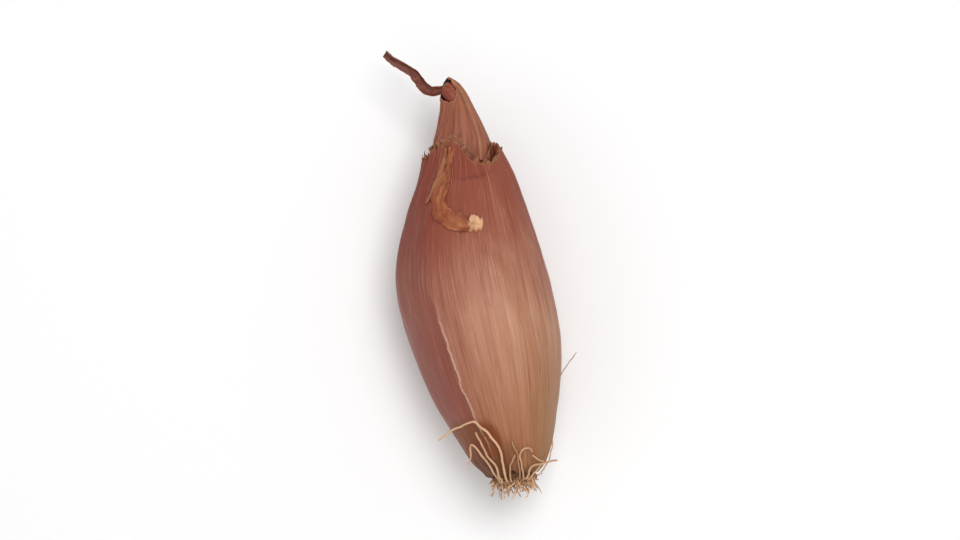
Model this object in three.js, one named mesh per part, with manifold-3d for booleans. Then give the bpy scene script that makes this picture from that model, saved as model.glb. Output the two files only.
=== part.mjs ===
// A long pink shallot lying on its side: the bulb in its dry skin, the dried neck that rises out of the
// skin's torn collar, the shrivelled leaf at its tip, a strip of peeled skin and the tuft of dried roots.
// Millimetres, +Z up. The bulb lies along Y with its roots towards -Y and its neck towards +Y.
// The origin is the middle of the small flat spot that it rests on.

import * as THREE from "three";
import { mergeVertices } from "three/addons/utils/BufferGeometryUtils.js";
import Module from "manifold-3d";

const wasm = await Module();
wasm.setup();

// ---- Driving dimensions ----

const REST_FROM_ROOT = 43.2; // the flat spot's middle, measured along the bulb from its root end
const FLAT_DEPTH = 0.35; // how much of the belly the flat spot takes off
const CLEARANCE = 0.3; // air between two pieces that touch

// How thick the bulb is and how far its middle lies to the side and up, from its root end to its collar.
const BULB = [
  { along: 0, radius: 6.2, side: 2.3, lift: 0.6 },
  { along: 1.5, radius: 7.6, side: 2.6, lift: 0.6 },
  { along: 4, radius: 9.5, side: 2.3, lift: 0.5 },
  { along: 8, radius: 11.6, side: 2.2, lift: 0.4 },
  { along: 13.5, radius: 13.9, side: 1.8, lift: 0.25 },
  { along: 21, radius: 16.6, side: 1.3, lift: 0.1 },
  { along: 29, radius: 18.45, side: 0.85, lift: 0 },
  { along: 37, radius: 19.45, side: 0.15, lift: 0 },
  { along: 45, radius: 19.75, side: -0.5, lift: 0 },
  { along: 53, radius: 19.1, side: -0.85, lift: 0.1 },
  { along: 61, radius: 17.55, side: -0.55, lift: 0.35 },
  { along: 69, radius: 14.95, side: 0.25, lift: 0.8 },
  { along: 77, radius: 11.65, side: 1.35, lift: 1.3 },
  { along: 83.5, radius: 8.9, side: 1.5, lift: 1.6 },
];
const BULB_SIDES = 64;
const BULB_RINGS = 38;
const FIRST_RING = 0.1; // where the rings start in their spacing, which is closer at the bulb's ends

// The sides of a grown bulb: a long facet on the left with a ridge beside it, and a slight oval. They
// fade in and out again along the bulb.
const degrees = Math.PI / 180;
const BODY = { fadesIn: [2, 16], fadesOut: [62, 76] };
const FACET = { angle: 150, spread: 22, depth: 1.1 };
const RIDGE = { angle: 113, turnPerMm: 0.16, spread: 7, height: 0.45 };
const OVAL = { angle: 120, depth: 0.25 };
const LOBES = { angle: 40, depth: 0.2 };
const SKIN_STEP = { depth: 0.3, width: 0.1, fadesOut: [0.9, 1.4] }; // the outer skin's edge on the ridge
const PLEATS = { count: 17, depth: 0.42, turnPerMm: 0.15, sway: 1.5 };
const GATHERED = { neckEnd: [60, 84], rootEnd: [0, 12], rootShare: 0.6 }; // where the skin is pleated

// The collar where the outer skin is torn off, and the socket in it that the neck stands in.
const COLLAR = { rim: 82.6, wall: 0.65, raggedness: 1.6, waviness: 0.35, wavesFrom: 76 };
const COLLAR_NOTCH = { angle: 52, spread: 28, depth: 4.2 }; // where the skin is torn furthest down
const COLLAR_CREST = { angle: 112, spread: 26, height: 3 }; // where it still stands highest
const SOCKET = { depth: 7.5, steps: [0.08, 0.4, 0.75, 1] };

// The dimple in the root end, and the root plate in it.
const DIMPLE = { radius: 5.9, depth: 1.3 };
const PLATE = { radius: 5.5, proud: 1.5, sides: 24, lobes: 7, waviness: 0.03, roundedFrom: 0.6 };

const NECK = [
  { along: 75.9, radius: 6.9, side: 1.4, lift: 1.3 },
  { along: 79.5, radius: 7.15, side: 1.5, lift: 1.45 },
  { along: 83, radius: 7.2, side: 1.6, lift: 1.6 },
  { along: 85.5, radius: 6.85, side: 1.7, lift: 1.65 },
  { along: 88, radius: 6.05, side: 1.8, lift: 1.7 },
  { along: 91, radius: 5.05, side: 1.8, lift: 1.7 },
  { along: 94, radius: 4.05, side: 1.7, lift: 1.55 },
  { along: 96.5, radius: 3.4, side: 1.3, lift: 1.35 },
  { along: 98.3, radius: 2.95, side: 0.4, lift: 1.1 },
  { along: 99.3, radius: 2.4, side: -0.8, lift: 0.85 },
];
const NECK_SIDES = 40;
const NECK_RINGS = 18;
const NECK_PLEATS = { count: 11, depth: 0.34, deepest: 0.35, thinning: 0.45, sway: 1.3, twist: 2 };
const TIP_POCKET = { radius: 1.75, depth: 3.2, sides: 12 };

// The shrivelled leaf: its path from inside the neck's tip, its width and its thickness.
const DRY_LEAF = [
  { along: 98.4, side: 0.4, lift: 1 },
  { along: 98.95, side: -0.8, lift: 0.9 },
  { along: 98.85, side: -2.1, lift: 0.65 },
  { along: 99, side: -3.7, lift: 0.3 },
  { along: 100.4, side: -5.2, lift: -0.1 },
  { along: 102.4, side: -6.2, lift: -0.6 },
  { along: 104.3, side: -7.2, lift: -1 },
  { along: 105.9, side: -8.6, lift: -1.25 },
  { along: 107.3, side: -10.3, lift: -1.3 },
  { along: 108.6, side: -11.9, lift: -1.1 },
  { along: 109.8, side: -13.1, lift: -0.8 },
  { along: 111, side: -14, lift: -0.4 },
];
const LEAF = { width: 2.2, thickness: 1.0, turns: 0.8, rings: 26, sides: 8 };
const LEAF_TAPER = { foot: 0.7, fullFrom: 0.2, thinsFrom: 0.7, tip: 0.65, waviness: 0.1, waves: 9 };

// The strip of peeled skin: the line down its middle on the bulb, and its width there.
const STRIP = [
  { along: 82.2, angle: 107, width: 2.2 },
  { along: 79.3, angle: 110, width: 2.4 },
  { along: 76.4, angle: 112.5, width: 2.9 },
  { along: 73, angle: 116.5, width: 3.2 },
  { along: 70, angle: 116.5, width: 3.7 },
  { along: 67.8, angle: 110.5, width: 3.9 },
  { along: 66, angle: 102.5, width: 4.2 },
  { along: 64.8, angle: 95, width: 4.4 },
  { along: 63.9, angle: 86.5, width: 4.2 },
  { along: 63.4, angle: 78, width: 3.2 },
];
const STRIP_THICKNESS = 0.6;
const STRIP_GAP = 0.55; // between the strip and the skin under it
const STRIP_CELLS = { long: 14, wide: 4 };

// Roots: the long ones by hand, from an angle and a distance from the middle on the plate, and then as
// distance along the bulb, angle round it and height over the skin. The short ones follow a rule.
const ROOT = { radius: 0.42, tipRadius: 0.31, sides: 4, stepsPerPoint: 2, overSkin: 0.35, overRim: 1.2 };
const FLOOR_GAP = 0.5; // a root that reaches the floor is bent to lie just over it
const ROOT_START = -0.4; // where the short roots start, just inside the plate's outer face
const LONG_ROOT_START = { along: 0.2, share: 0.8, under: 0.1 };
const LONG_ROOTS = [
  {
    from: { angle: 107, reach: 2.6 },
    way: [
      [7, 101, 0.8],
      [11.6, 107, 1.2],
      [15.2, 113, 1.6],
      [14.6, 134, 1.8],
      [13.2, 150, 3.4],
      [11.7, 159, 6],
    ],
  },
  { from: { angle: 116, reach: 3.4 }, way: [[5.1, 117, 0.8], [9.2, 120, 1], [12.4, 119, 1.2]] },
  {
    from: { angle: 124, reach: 4.2 },
    way: [
      [4.9, 124, 0.8],
      [8.9, 129, 1.2],
      [6.6, 139, 2],
      [4.4, 144, 3.4],
    ],
  },
  { from: { angle: 65, reach: 3.5 }, way: [[4, 77, 0.9], [5.9, 78, 1.4], [6.7, 72, 1.6], [6, 64, 1.4]] },
  { from: { angle: 75, reach: 2 }, way: [[4.9, 80.5, 0.8], [9.2, 85, 1.2]] },
  { from: { angle: 98, reach: 3.6 }, way: [[2.9, 93, 0.8], [5.6, 86.5, 1.9]] },
  { from: { angle: 62, reach: 3.2 }, way: [[2, 52, 0.9], [2, 37, 2.2], [2.3, 28, 2.8], [1.9, 18, 3.9]] },
  { from: { angle: 50, reach: 4 }, way: [[3.2, 51, 1.1], [5.2, 60, 1.2]] },
  {
    from: { angle: 5, reach: 3.5 },
    way: [
      [4, -14, 0.9],
      [10, -27, 0.9],
      [17, -27, 0.9],
      [22.5, -19, 1],
      [26, -6, 2.2],
      [28.4, 2, 3.9],
    ],
  },
];
const TUFT = { count: 34, shortest: 2.6, longest: 6.4, steps: 5, seed: 9, spread: 0.85 };
const TUFT_LEAN = { middle: 0.15, outwards: 0.75, onward: 1.1 }; // how the roots spread off the plate
const TUFT_CURL = { swirl: 0.65, back: 0.35, droop: 0.06 };
const GOLDEN_ANGLE = 2.399963; // it spreads the roots evenly over the plate

const COLOURS = {
  bulb: 0xc08a70,
  neck: 0xa06a52,
  dry_leaf: 0x8f5a44,
  peeled_skin: 0xb08456,
  root_tuft: 0xc4a273,
};

// ---- Small tools ----

const TURN = 2 * Math.PI;

// The value of one key at a distance along a list of stations, on a smooth curve through them.
function through(stations, key, along) {
  const last = stations.length - 2;
  let i = 0;
  while (i < last && along > stations[i + 1].along) i += 1;
  const [a, b] = [stations[i], stations[i + 1]];
  const before = stations[i - 1] ?? a;
  const after = stations[i + 2] ?? b;
  const span = b.along - a.along;
  const t = (along - a.along) / span;
  const slopeA = ((b[key] - before[key]) / (b.along - before.along)) * span;
  const slopeB = ((after[key] - a[key]) / (after.along - a.along)) * span;
  return (
    (2 * t ** 3 - 3 * t ** 2 + 1) * a[key] +
    (t ** 3 - 2 * t ** 2 + t) * slopeA +
    (3 * t ** 2 - 2 * t ** 3) * b[key] +
    (t ** 3 - t ** 2) * slopeB
  );
}

// 1 at the angle, falling to 0 round it.
function hump(angle, middle, spread) {
  const off = Math.atan2(Math.sin(angle - middle), Math.cos(angle - middle));
  return Math.exp(-((off / spread) ** 2));
}

function smooth([low, high], value) {
  return THREE.MathUtils.smoothstep(value, low, high);
}

// A closed mesh through rings of points that have the same number of points each.
function loft(rings) {
  const sides = rings[0].length;
  const points = rings.flat();
  const faces = [];
  rings.slice(1).forEach((_, i) => {
    for (let k = 0; k < sides; k += 1) {
      const a = i * sides + k;
      const b = i * sides + ((k + 1) % sides);
      faces.push(a, b, a + sides, b, b + sides, a + sides);
    }
  });
  [rings[0], rings.at(-1)].forEach((ring, end) => {
    const middle = ring.reduce((sum, p) => sum.add(p), new THREE.Vector3()).divideScalar(sides);
    const base = end ? (rings.length - 1) * sides : 0;
    for (let k = 0; k < sides; k += 1) {
      const [a, b] = [base + k, base + ((k + 1) % sides)];
      if (end) faces.push(a, b, points.length);
      else faces.push(b, a, points.length);
    }
    points.push(middle);
  });
  return new THREE.BufferGeometry().setFromPoints(points).setIndex(faces);
}

function solidFrom(geometry) {
  const bare = geometry.clone();
  bare.deleteAttribute("normal");
  bare.deleteAttribute("uv");
  const merged = mergeVertices(bare, 1e-4);
  return new wasm.Manifold(
    new wasm.Mesh({
      numProp: 3,
      vertProperties: merged.attributes.position.array,
      triVerts: new Uint32Array(merged.index.array),
    }),
  );
}

function geometryFrom(solid) {
  const { numProp, vertProperties, triVerts } = solid.getMesh();
  const points = [];
  for (let i = 0; i < vertProperties.length; i += numProp) {
    points.push(new THREE.Vector3(...vertProperties.subarray(i, i + 3)));
  }
  return new THREE.BufferGeometry().setFromPoints(points).setIndex([...triVerts]);
}

// Rings of points square to a path, each point at ringPoint(share along the path, angle) = [across, up].
// From one ring to the next, across and up turn only as much as the path does.
function ringsAlong(path, count, sides, ringPoint) {
  let forward = path.getTangent(0);
  const across = new THREE.Vector3().crossVectors(forward, new THREE.Vector3(0, 0, 1)).normalize();
  return Array.from({ length: count + 1 }, (_, i) => {
    const t = i / count;
    const centre = path.getPoint(t);
    const ahead = path.getTangent(t);
    across.applyQuaternion(new THREE.Quaternion().setFromUnitVectors(forward, ahead));
    forward = ahead;
    const up = new THREE.Vector3().crossVectors(across, forward);
    return Array.from({ length: sides }, (_, k) => {
      const [x, z] = ringPoint(t, -(k / sides) * TURN);
      return centre.clone().addScaledVector(across, x).addScaledVector(up, z);
    });
  });
}

// ---- The bulb's skin ----

const AXIS_HEIGHT = skinRadius(REST_FROM_ROOT, 1.5 * Math.PI) - FLAT_DEPTH;

// A point at a distance along the bulb, an angle round it from +X towards +Z, and a distance from its axis.
function roundBulb(along, angle, radius) {
  const known = Math.max(0, along);
  return new THREE.Vector3(
    through(BULB, "side", known) + radius * Math.cos(angle),
    along - REST_FROM_ROOT,
    AXIS_HEIGHT + through(BULB, "lift", known) + radius * Math.sin(angle),
  );
}

function collarRim(angle) {
  const tongues = 0.5 * Math.sin(3 * angle + 0.6) + 0.3 * Math.sin(7 * angle + 2.1);
  const ragged = tongues + 0.2 * Math.sin(12 * angle);
  const notch = hump(angle, COLLAR_NOTCH.angle * degrees, COLLAR_NOTCH.spread * degrees);
  const crest = hump(angle, COLLAR_CREST.angle * degrees, COLLAR_CREST.spread * degrees);
  const torn = COLLAR_CREST.height * crest - COLLAR_NOTCH.depth * notch;
  return COLLAR.rim + COLLAR.raggedness * ragged + torn;
}

// The socket's radius: what the neck, pleats and all, reaches from its own middle, and a little air.
function socketRadius(along) {
  const neck = through(NECK, "radius", Math.max(along, NECK[0].along)) + NECK_PLEATS.depth;
  return neck + 1.5 * CLEARANCE;
}

// How far the outer skin stands from the bulb's axis.
function skinRadius(along, angle) {
  const body = smooth(BODY.fadesIn, along) * (1 - smooth(BODY.fadesOut, along));
  const facet = FACET.depth * hump(angle, FACET.angle * degrees, FACET.spread * degrees);
  const ridgeAngle = (RIDGE.angle + RIDGE.turnPerMm * along) * degrees;
  const ridge = RIDGE.height * hump(angle, ridgeAngle, RIDGE.spread * degrees);
  const pastRidge = Math.atan2(Math.sin(angle - ridgeAngle), Math.cos(angle - ridgeAngle));
  const stepDown = smooth([0, SKIN_STEP.width], pastRidge) * (1 - smooth(SKIN_STEP.fadesOut, pastRidge));
  const step = SKIN_STEP.depth * stepDown;
  const oval = OVAL.depth * Math.cos(2 * (angle - OVAL.angle * degrees));
  const lobes = LOBES.depth * Math.cos(3 * (angle - LOBES.angle * degrees));
  const phase = PLEATS.count * (angle - PLEATS.turnPerMm * degrees * along);
  const atRoots = GATHERED.rootShare * (1 - smooth(GATHERED.rootEnd, along));
  const gathered = smooth(GATHERED.neckEnd, along) + atRoots;
  const pleats = PLEATS.depth * gathered * Math.sin(phase + PLEATS.sway * Math.sin(2 * angle));
  const flare = smooth([COLLAR.wavesFrom, BULB.at(-1).along], along);
  const wave = COLLAR.waviness * flare * Math.sin(2 * angle + 0.4);
  const round = through(BULB, "radius", along);
  const skin = round + body * (ridge - facet - step + oval + lobes) + pleats + wave;
  return along < NECK[0].along ? skin : Math.max(skin, socketRadius(along) + COLLAR.wall);
}

function ringOf(sides, pointAt) {
  return Array.from({ length: sides }, (_, k) => pointAt(-(k / sides) * TURN));
}

// ---- Pieces ----

// The bulb: from the dimple in its root end, over the belly and the torn collar, into the neck's socket.
function makeBulb() {
  const rings = [ringOf(BULB_SIDES, (a) => roundBulb(DIMPLE.depth, a, DIMPLE.radius))];
  for (let i = 0; i <= BULB_RINGS; i += 1) {
    const share = 0.5 - 0.5 * Math.cos(Math.PI * THREE.MathUtils.lerp(FIRST_RING, 1, i / BULB_RINGS));
    const start = 0.5 - 0.5 * Math.cos(Math.PI * FIRST_RING);
    const t = (share - start) / (1 - start);
    rings.push(
      ringOf(BULB_SIDES, (a) => {
        const along = t * THREE.MathUtils.lerp(BULB.at(-1).along, collarRim(a), t ** 6);
        return roundBulb(along, a, skinRadius(along, a));
      }),
    );
  }
  const socketFloor = COLLAR.rim - SOCKET.depth;
  SOCKET.steps.forEach((depth) => {
    rings.push(
      ringOf(BULB_SIDES, (a) => {
        const along = THREE.MathUtils.lerp(collarRim(a), socketFloor, depth);
        const rim = skinRadius(collarRim(a), a) - COLLAR.wall;
        const seat = socketRadius(along);
        return roundBulb(along, a, THREE.MathUtils.lerp(rim, seat, Math.min(1, depth * 2)));
      }),
    );
  });
  const whole = solidFrom(loft(rings));
  const below = new THREE.BoxGeometry(100, 200, 20).translate(0, 0, -10);
  return geometryFrom(whole.subtract(solidFrom(below)));
}

function pathThrough(stations) {
  return new THREE.CatmullRomCurve3(
    stations.map(
      ({ along, side, lift }) => new THREE.Vector3(side, along - REST_FROM_ROOT, AXIS_HEIGHT + lift),
    ),
  );
}

// The neck: pleated dry leaf sheaths, narrowing to a tip that turns to the left, with a pocket in it.
function makeNeck() {
  const path = pathThrough(NECK);
  const rings = ringsAlong(path, NECK_RINGS, NECK_SIDES, (t, angle) => {
    const station = t * (NECK.length - 1);
    const i = Math.min(NECK.length - 2, Math.floor(station));
    const along = THREE.MathUtils.lerp(NECK[i].along, NECK[i + 1].along, station - i);
    const grown = smooth([-0.1, NECK_PLEATS.deepest], t) * (1 - NECK_PLEATS.thinning * t);
    const phase = NECK_PLEATS.count * angle + NECK_PLEATS.sway * Math.sin(2 * angle);
    const pleat = NECK_PLEATS.depth * grown * Math.sin(phase + NECK_PLEATS.twist * t);
    const radius = through(NECK, "radius", along) + pleat;
    return [radius * Math.cos(angle), radius * Math.sin(angle)];
  });
  const tip = path.getPoint(1);
  const inward = path.getTangent(1).negate();
  const pocketPath = new THREE.LineCurve3(
    tip.clone().addScaledVector(inward, -2),
    tip.clone().addScaledVector(inward, TIP_POCKET.depth),
  );
  const pocket = ringsAlong(pocketPath, 1, TIP_POCKET.sides, (_, angle) => [
    TIP_POCKET.radius * Math.cos(angle),
    TIP_POCKET.radius * Math.sin(angle),
  ]);
  return geometryFrom(solidFrom(loft(rings)).subtract(solidFrom(loft(pocket))));
}

// The shrivelled leaf: a narrow ribbon that twists as it runs to the left and away from the neck.
function makeDryLeaf() {
  const rings = ringsAlong(pathThrough(DRY_LEAF), LEAF.rings, LEAF.sides, (t, angle) => {
    const foot = THREE.MathUtils.lerp(LEAF_TAPER.foot, 1, smooth([0, LEAF_TAPER.fullFrom], t));
    const tip = THREE.MathUtils.lerp(1, LEAF_TAPER.tip, smooth([LEAF_TAPER.thinsFrom, 1], t));
    const taper = foot * tip * (1 - LEAF_TAPER.waviness * Math.sin(LEAF_TAPER.waves * t));
    const x = 0.5 * LEAF.width * taper * Math.cos(angle);
    const z = 0.5 * LEAF.thickness * taper * Math.sin(angle);
    const turn = LEAF.turns * TURN * smooth([0.1, 1], t);
    return [x * Math.cos(turn) - z * Math.sin(turn), x * Math.sin(turn) + z * Math.cos(turn)];
  });
  return loft(rings);
}

// The strip of peeled skin: a thin curved sheet over the shoulder of the bulb.
function makePeeledSkin() {
  const { long, wide } = STRIP_CELLS;
  const line = new THREE.CatmullRomCurve3(
    STRIP.map(({ along, angle, width }) => new THREE.Vector3(along, angle, width)),
  );
  const rings = Array.from({ length: long + 1 }, (_, i) => {
    const t = i / long;
    const here = line.getPoint(t);
    const ahead = line.getTangent(t);
    const reach = skinRadius(here.x, here.y * degrees);
    const run = new THREE.Vector2(ahead.x, ahead.y * degrees * reach).normalize();
    const edge = (share, height) => {
      const off = share * here.z;
      const along = here.x + off * run.y;
      const angle = here.y * degrees - (off * run.x) / reach;
      return roundBulb(along, angle, skinRadius(along, angle) + STRIP_GAP + height);
    };
    const across = Array.from({ length: wide + 1 }, (_, k) => k / wide - 0.5);
    const under = across.map((share) => edge(share, 0)).reverse();
    const over = across.map((share) => edge(share, STRIP_THICKNESS));
    return [...over, ...under];
  });
  return loft(rings);
}

// The same row of numbers from 0 to 1 on every run.
function seededNumbers(seed) {
  let state = seed >>> 0;
  return () => {
    state = (Math.imul(state, 1664525) + 1013904223) >>> 0;
    return state / 2 ** 32;
  };
}

// A point moved out of the bulb and off the floor, so that a root bends round them.
function bentClear(point, radius) {
  const along = point.y + REST_FROM_ROOT;
  const middle = roundBulb(along, 0, 0);
  const angle = Math.atan2(point.z - middle.z, point.x - middle.x);
  const away = Math.hypot(point.z - middle.z, point.x - middle.x);
  const least = skinRadius(Math.max(0, along), angle) + CLEARANCE + ROOT.overSkin + radius;
  const beside = along > 0 || (along > -1 && away > PLATE.radius);
  if (beside && away < least) point.copy(roundBulb(along, angle, least));
  point.z = Math.max(point.z, FLOOR_GAP + radius);
  return point;
}

function makeRoot(points) {
  const path = new THREE.CatmullRomCurve3(points);
  const steps = points.length * ROOT.stepsPerPoint;
  const rings = ringsAlong(path, steps, ROOT.sides, (t, angle) => {
    const radius = THREE.MathUtils.lerp(ROOT.radius, ROOT.tipRadius, t);
    return [radius * Math.cos(angle), radius * Math.sin(angle)];
  });
  return solidFrom(loft(rings));
}

// The roots of the tuft start all over the plate, lean outwards and curl as they dry.
function tuftRootPoints(random, index) {
  const turn = index * GOLDEN_ANGLE;
  const share = TUFT.spread * Math.sqrt((index + 0.5) / TUFT.count);
  const length = THREE.MathUtils.lerp(TUFT.shortest, TUFT.longest, random());
  const point = roundBulb(ROOT_START, turn, PLATE.radius * share);
  const lean = TUFT_LEAN.middle + TUFT_LEAN.outwards * share;
  const heading = new THREE.Vector3(lean * Math.cos(turn), -TUFT_LEAN.onward, lean * Math.sin(turn));
  const swirl = new THREE.Vector3(random() - 0.5, random() - 1 + TUFT_CURL.back, random() - 0.5);
  swirl.multiplyScalar(TUFT_CURL.swirl).add(new THREE.Vector3(0, 0, -TUFT_CURL.droop));
  const points = [bentClear(point.clone(), ROOT.radius)];
  for (let i = 0; i < TUFT.steps; i += 1) {
    heading.normalize();
    point.addScaledVector(heading, length / TUFT.steps);
    heading.add(swirl);
    points.push(bentClear(point, ROOT.radius).clone());
  }
  return points;
}

// A long root leaves the plate, crosses the rim of the root end and runs on over the skin.
function longRootPoints({ from, way }) {
  const rimAngle = ((2 * from.angle + way[0][1]) / 3) * degrees;
  const points = [
    roundBulb(LONG_ROOT_START.along, from.angle * degrees, from.reach * LONG_ROOT_START.share),
    roundBulb(LONG_ROOT_START.under - PLATE.proud, from.angle * degrees, from.reach + ROOT.overRim),
    roundBulb(0, rimAngle, skinRadius(0, rimAngle) + ROOT.overRim),
  ];
  way.forEach(([along, angle, height]) => {
    const point = roundBulb(along, angle * degrees, skinRadius(along, angle * degrees) + height);
    points.push(bentClear(point, ROOT.radius));
  });
  return points;
}

// The root plate: a low knobbly dome in the dimple, with every root sunk into it.
function makeRootTuft() {
  const plateRing = (along, share) =>
    ringOf(PLATE.sides, (a) => {
      const lobed = 1 + PLATE.waviness * Math.sin(PLATE.lobes * a);
      return roundBulb(along, a, PLATE.radius * share * lobed);
    });
  const plate = loft([
    plateRing(-PLATE.proud, PLATE.roundedFrom),
    plateRing(-PLATE.roundedFrom * PLATE.proud, 0.9),
    plateRing(0, 1),
    plateRing(DIMPLE.depth - CLEARANCE, 1),
  ]);
  const random = seededNumbers(TUFT.seed);
  const roots = [
    ...LONG_ROOTS.map((row) => longRootPoints(row)),
    ...Array.from({ length: TUFT.count }, (_, i) => tuftRootPoints(random, i)),
  ];
  let tuft = solidFrom(plate);
  roots.forEach((points) => {
    tuft = tuft.add(makeRoot(points));
  });
  return geometryFrom(tuft);
}

function mesh(name, geometry) {
  const material = new THREE.MeshStandardMaterial({ color: COLOURS[name], roughness: 0.55, metalness: 0 });
  const piece = new THREE.Mesh(geometry, material);
  piece.name = name;
  return piece;
}

const shallot = new THREE.Group();
shallot.add(mesh("bulb", makeBulb()));
shallot.add(mesh("neck", makeNeck()));
shallot.add(mesh("dry_leaf", makeDryLeaf()));
shallot.add(mesh("peeled_skin", makePeeledSkin()));
shallot.add(mesh("root_tuft", makeRootTuft()));
export default shallot;
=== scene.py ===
# A long pink shallot lying on its side: coppery dry skin that is torn open at the neck, a shrivelled leaf
# at the neck's tip and a tuft of dried roots at the other end. Lengths are in mm up to the meshes.

import math

import bpy
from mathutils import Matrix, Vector, noise
from mathutils.bvhtree import BVHTree


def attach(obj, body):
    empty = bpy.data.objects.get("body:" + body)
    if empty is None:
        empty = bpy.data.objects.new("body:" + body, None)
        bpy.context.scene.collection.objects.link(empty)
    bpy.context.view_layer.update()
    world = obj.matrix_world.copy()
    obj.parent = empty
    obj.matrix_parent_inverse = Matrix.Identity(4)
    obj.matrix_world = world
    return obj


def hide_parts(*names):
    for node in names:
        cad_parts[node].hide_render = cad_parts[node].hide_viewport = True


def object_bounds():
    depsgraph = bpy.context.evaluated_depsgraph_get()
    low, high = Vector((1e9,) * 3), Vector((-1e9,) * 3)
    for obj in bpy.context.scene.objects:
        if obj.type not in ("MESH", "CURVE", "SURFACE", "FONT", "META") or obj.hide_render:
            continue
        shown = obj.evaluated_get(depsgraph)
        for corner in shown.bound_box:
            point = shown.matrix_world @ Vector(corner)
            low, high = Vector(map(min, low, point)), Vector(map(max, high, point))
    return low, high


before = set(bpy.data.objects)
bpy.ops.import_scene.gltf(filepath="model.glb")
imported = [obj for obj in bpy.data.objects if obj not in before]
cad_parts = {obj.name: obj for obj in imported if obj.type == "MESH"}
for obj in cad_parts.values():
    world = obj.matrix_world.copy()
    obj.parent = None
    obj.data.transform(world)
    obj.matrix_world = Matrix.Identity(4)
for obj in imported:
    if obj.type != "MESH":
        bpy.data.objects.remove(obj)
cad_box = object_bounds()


# ---- The bulb ----
# Swollen leaf bases wrapped in one dry papery skin, which has split lengthwise: its free edge runs along
# a ridge on the left, over the redder skin below. The skin gathers in pleats at both ends and is torn off
# round the neck. It lies on a small flattened spot of its belly.

MM = 0.001
TURN = 2 * math.pi
DEGREE = math.pi / 180
AXIS_HEIGHT = 19.66  # of the bulb's middle over the surface it lies on
REST_FROM_ROOT = 43.2  # from the root end to the spot it rests on, which is the frame's origin

# From the root end to the collar: distance, half thickness, and how far the middle lies right and up.
BULB_RINGS = [
    (0, 6.2, 2.3, 0.6),
    (1.5, 7.6, 2.6, 0.6),
    (4, 9.5, 2.3, 0.5),
    (8, 11.6, 2.2, 0.4),
    (13.5, 13.9, 1.8, 0.25),
    (21, 16.6, 1.3, 0.1),
    (29, 18.45, 0.85, 0),
    (37, 19.45, 0.15, 0),
    (45, 19.75, -0.5, 0),
    (53, 19.1, -0.85, 0.1),
    (61, 17.55, -0.55, 0.35),
    (69, 14.95, 0.25, 0.8),
    (77, 11.65, 1.35, 1.3),
    (83.5, 8.9, 1.5, 1.6),
]
THICKNESS, SIDE, LIFT = 1, 2, 3
COLLAR_RIM = 82.6  # distance of the torn rim from the root end
SKIN_WALL = 0.3
SOCKET_DEPTH = 7.5  # of the hollow in the collar that the neck stands in
SOCKET_RADIUS = 7.95
SOCKET_RINGS = (0.0, 0.04, 0.1, 0.2, 0.4, 0.7, 1.0)  # shares of its depth
RINGS_UP = 235
RIM_RING = RINGS_UP + 4  # the number of the ring on the collar's rim
DIMPLE_RADIUS = 5.9  # of the hollow that the root plate sits in
DIMPLE_DEPTH = 2.6
FOOT_NOTCHES = [(127, 9, 1.3), (91, 8, 1.6), (71, 7, 1.1)]  # tears at the root end: angle, spread, depth
COLLAR_CREST = (112, 26, 3.0)  # where the torn skins stand highest: angle, spread, height
COLLAR_NOTCH = (52, 28, 4.2)  # and where they are torn lowest: angle, spread, depth
EDGE_FADES = (34.0, 50.0)  # distances between which the skin's free edge fades out
GRAIN_RADIUS = 19  # at which noise is wound round the bulb, so that it meets itself


def through(rings, column, along):
    """A column's value at a distance, on a smooth curve through the rings."""
    i = 0
    while i < len(rings) - 2 and along > rings[i + 1][0]:
        i += 1
    a, b = rings[i], rings[i + 1]
    before, after = rings[max(0, i - 1)], rings[min(len(rings) - 1, i + 2)]
    span = b[0] - a[0]
    t = (along - a[0]) / span
    slope_a = (b[column] - before[column]) / (b[0] - before[0]) * span
    slope_b = (after[column] - a[column]) / (after[0] - a[0]) * span
    return (
        (2 * t**3 - 3 * t**2 + 1) * a[column]
        + (t**3 - 2 * t**2 + t) * slope_a
        + (3 * t**2 - 2 * t**3) * b[column]
        + (t**3 - t**2) * slope_b
    )


def thickness(along):
    """Half the bulb's thickness at a distance from its root end."""
    return through(BULB_RINGS, THICKNESS, along)


class Wire:
    """A node's output, on which plain arithmetic adds Math nodes."""

    def __init__(self, tree, socket):
        self.tree, self.socket = tree, socket

    def __add__(self, other):
        return self.tree.math("ADD", self, other)

    def __sub__(self, other):
        return self.tree.math("SUBTRACT", self, other)

    def __rsub__(self, other):
        return self.tree.math("SUBTRACT", other, self)

    def __mul__(self, other):
        return self.tree.math("MULTIPLY", self, other)

    def __truediv__(self, other):
        return self.tree.math("DIVIDE", self, other)

    __radd__ = __add__
    __rmul__ = __mul__


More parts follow.
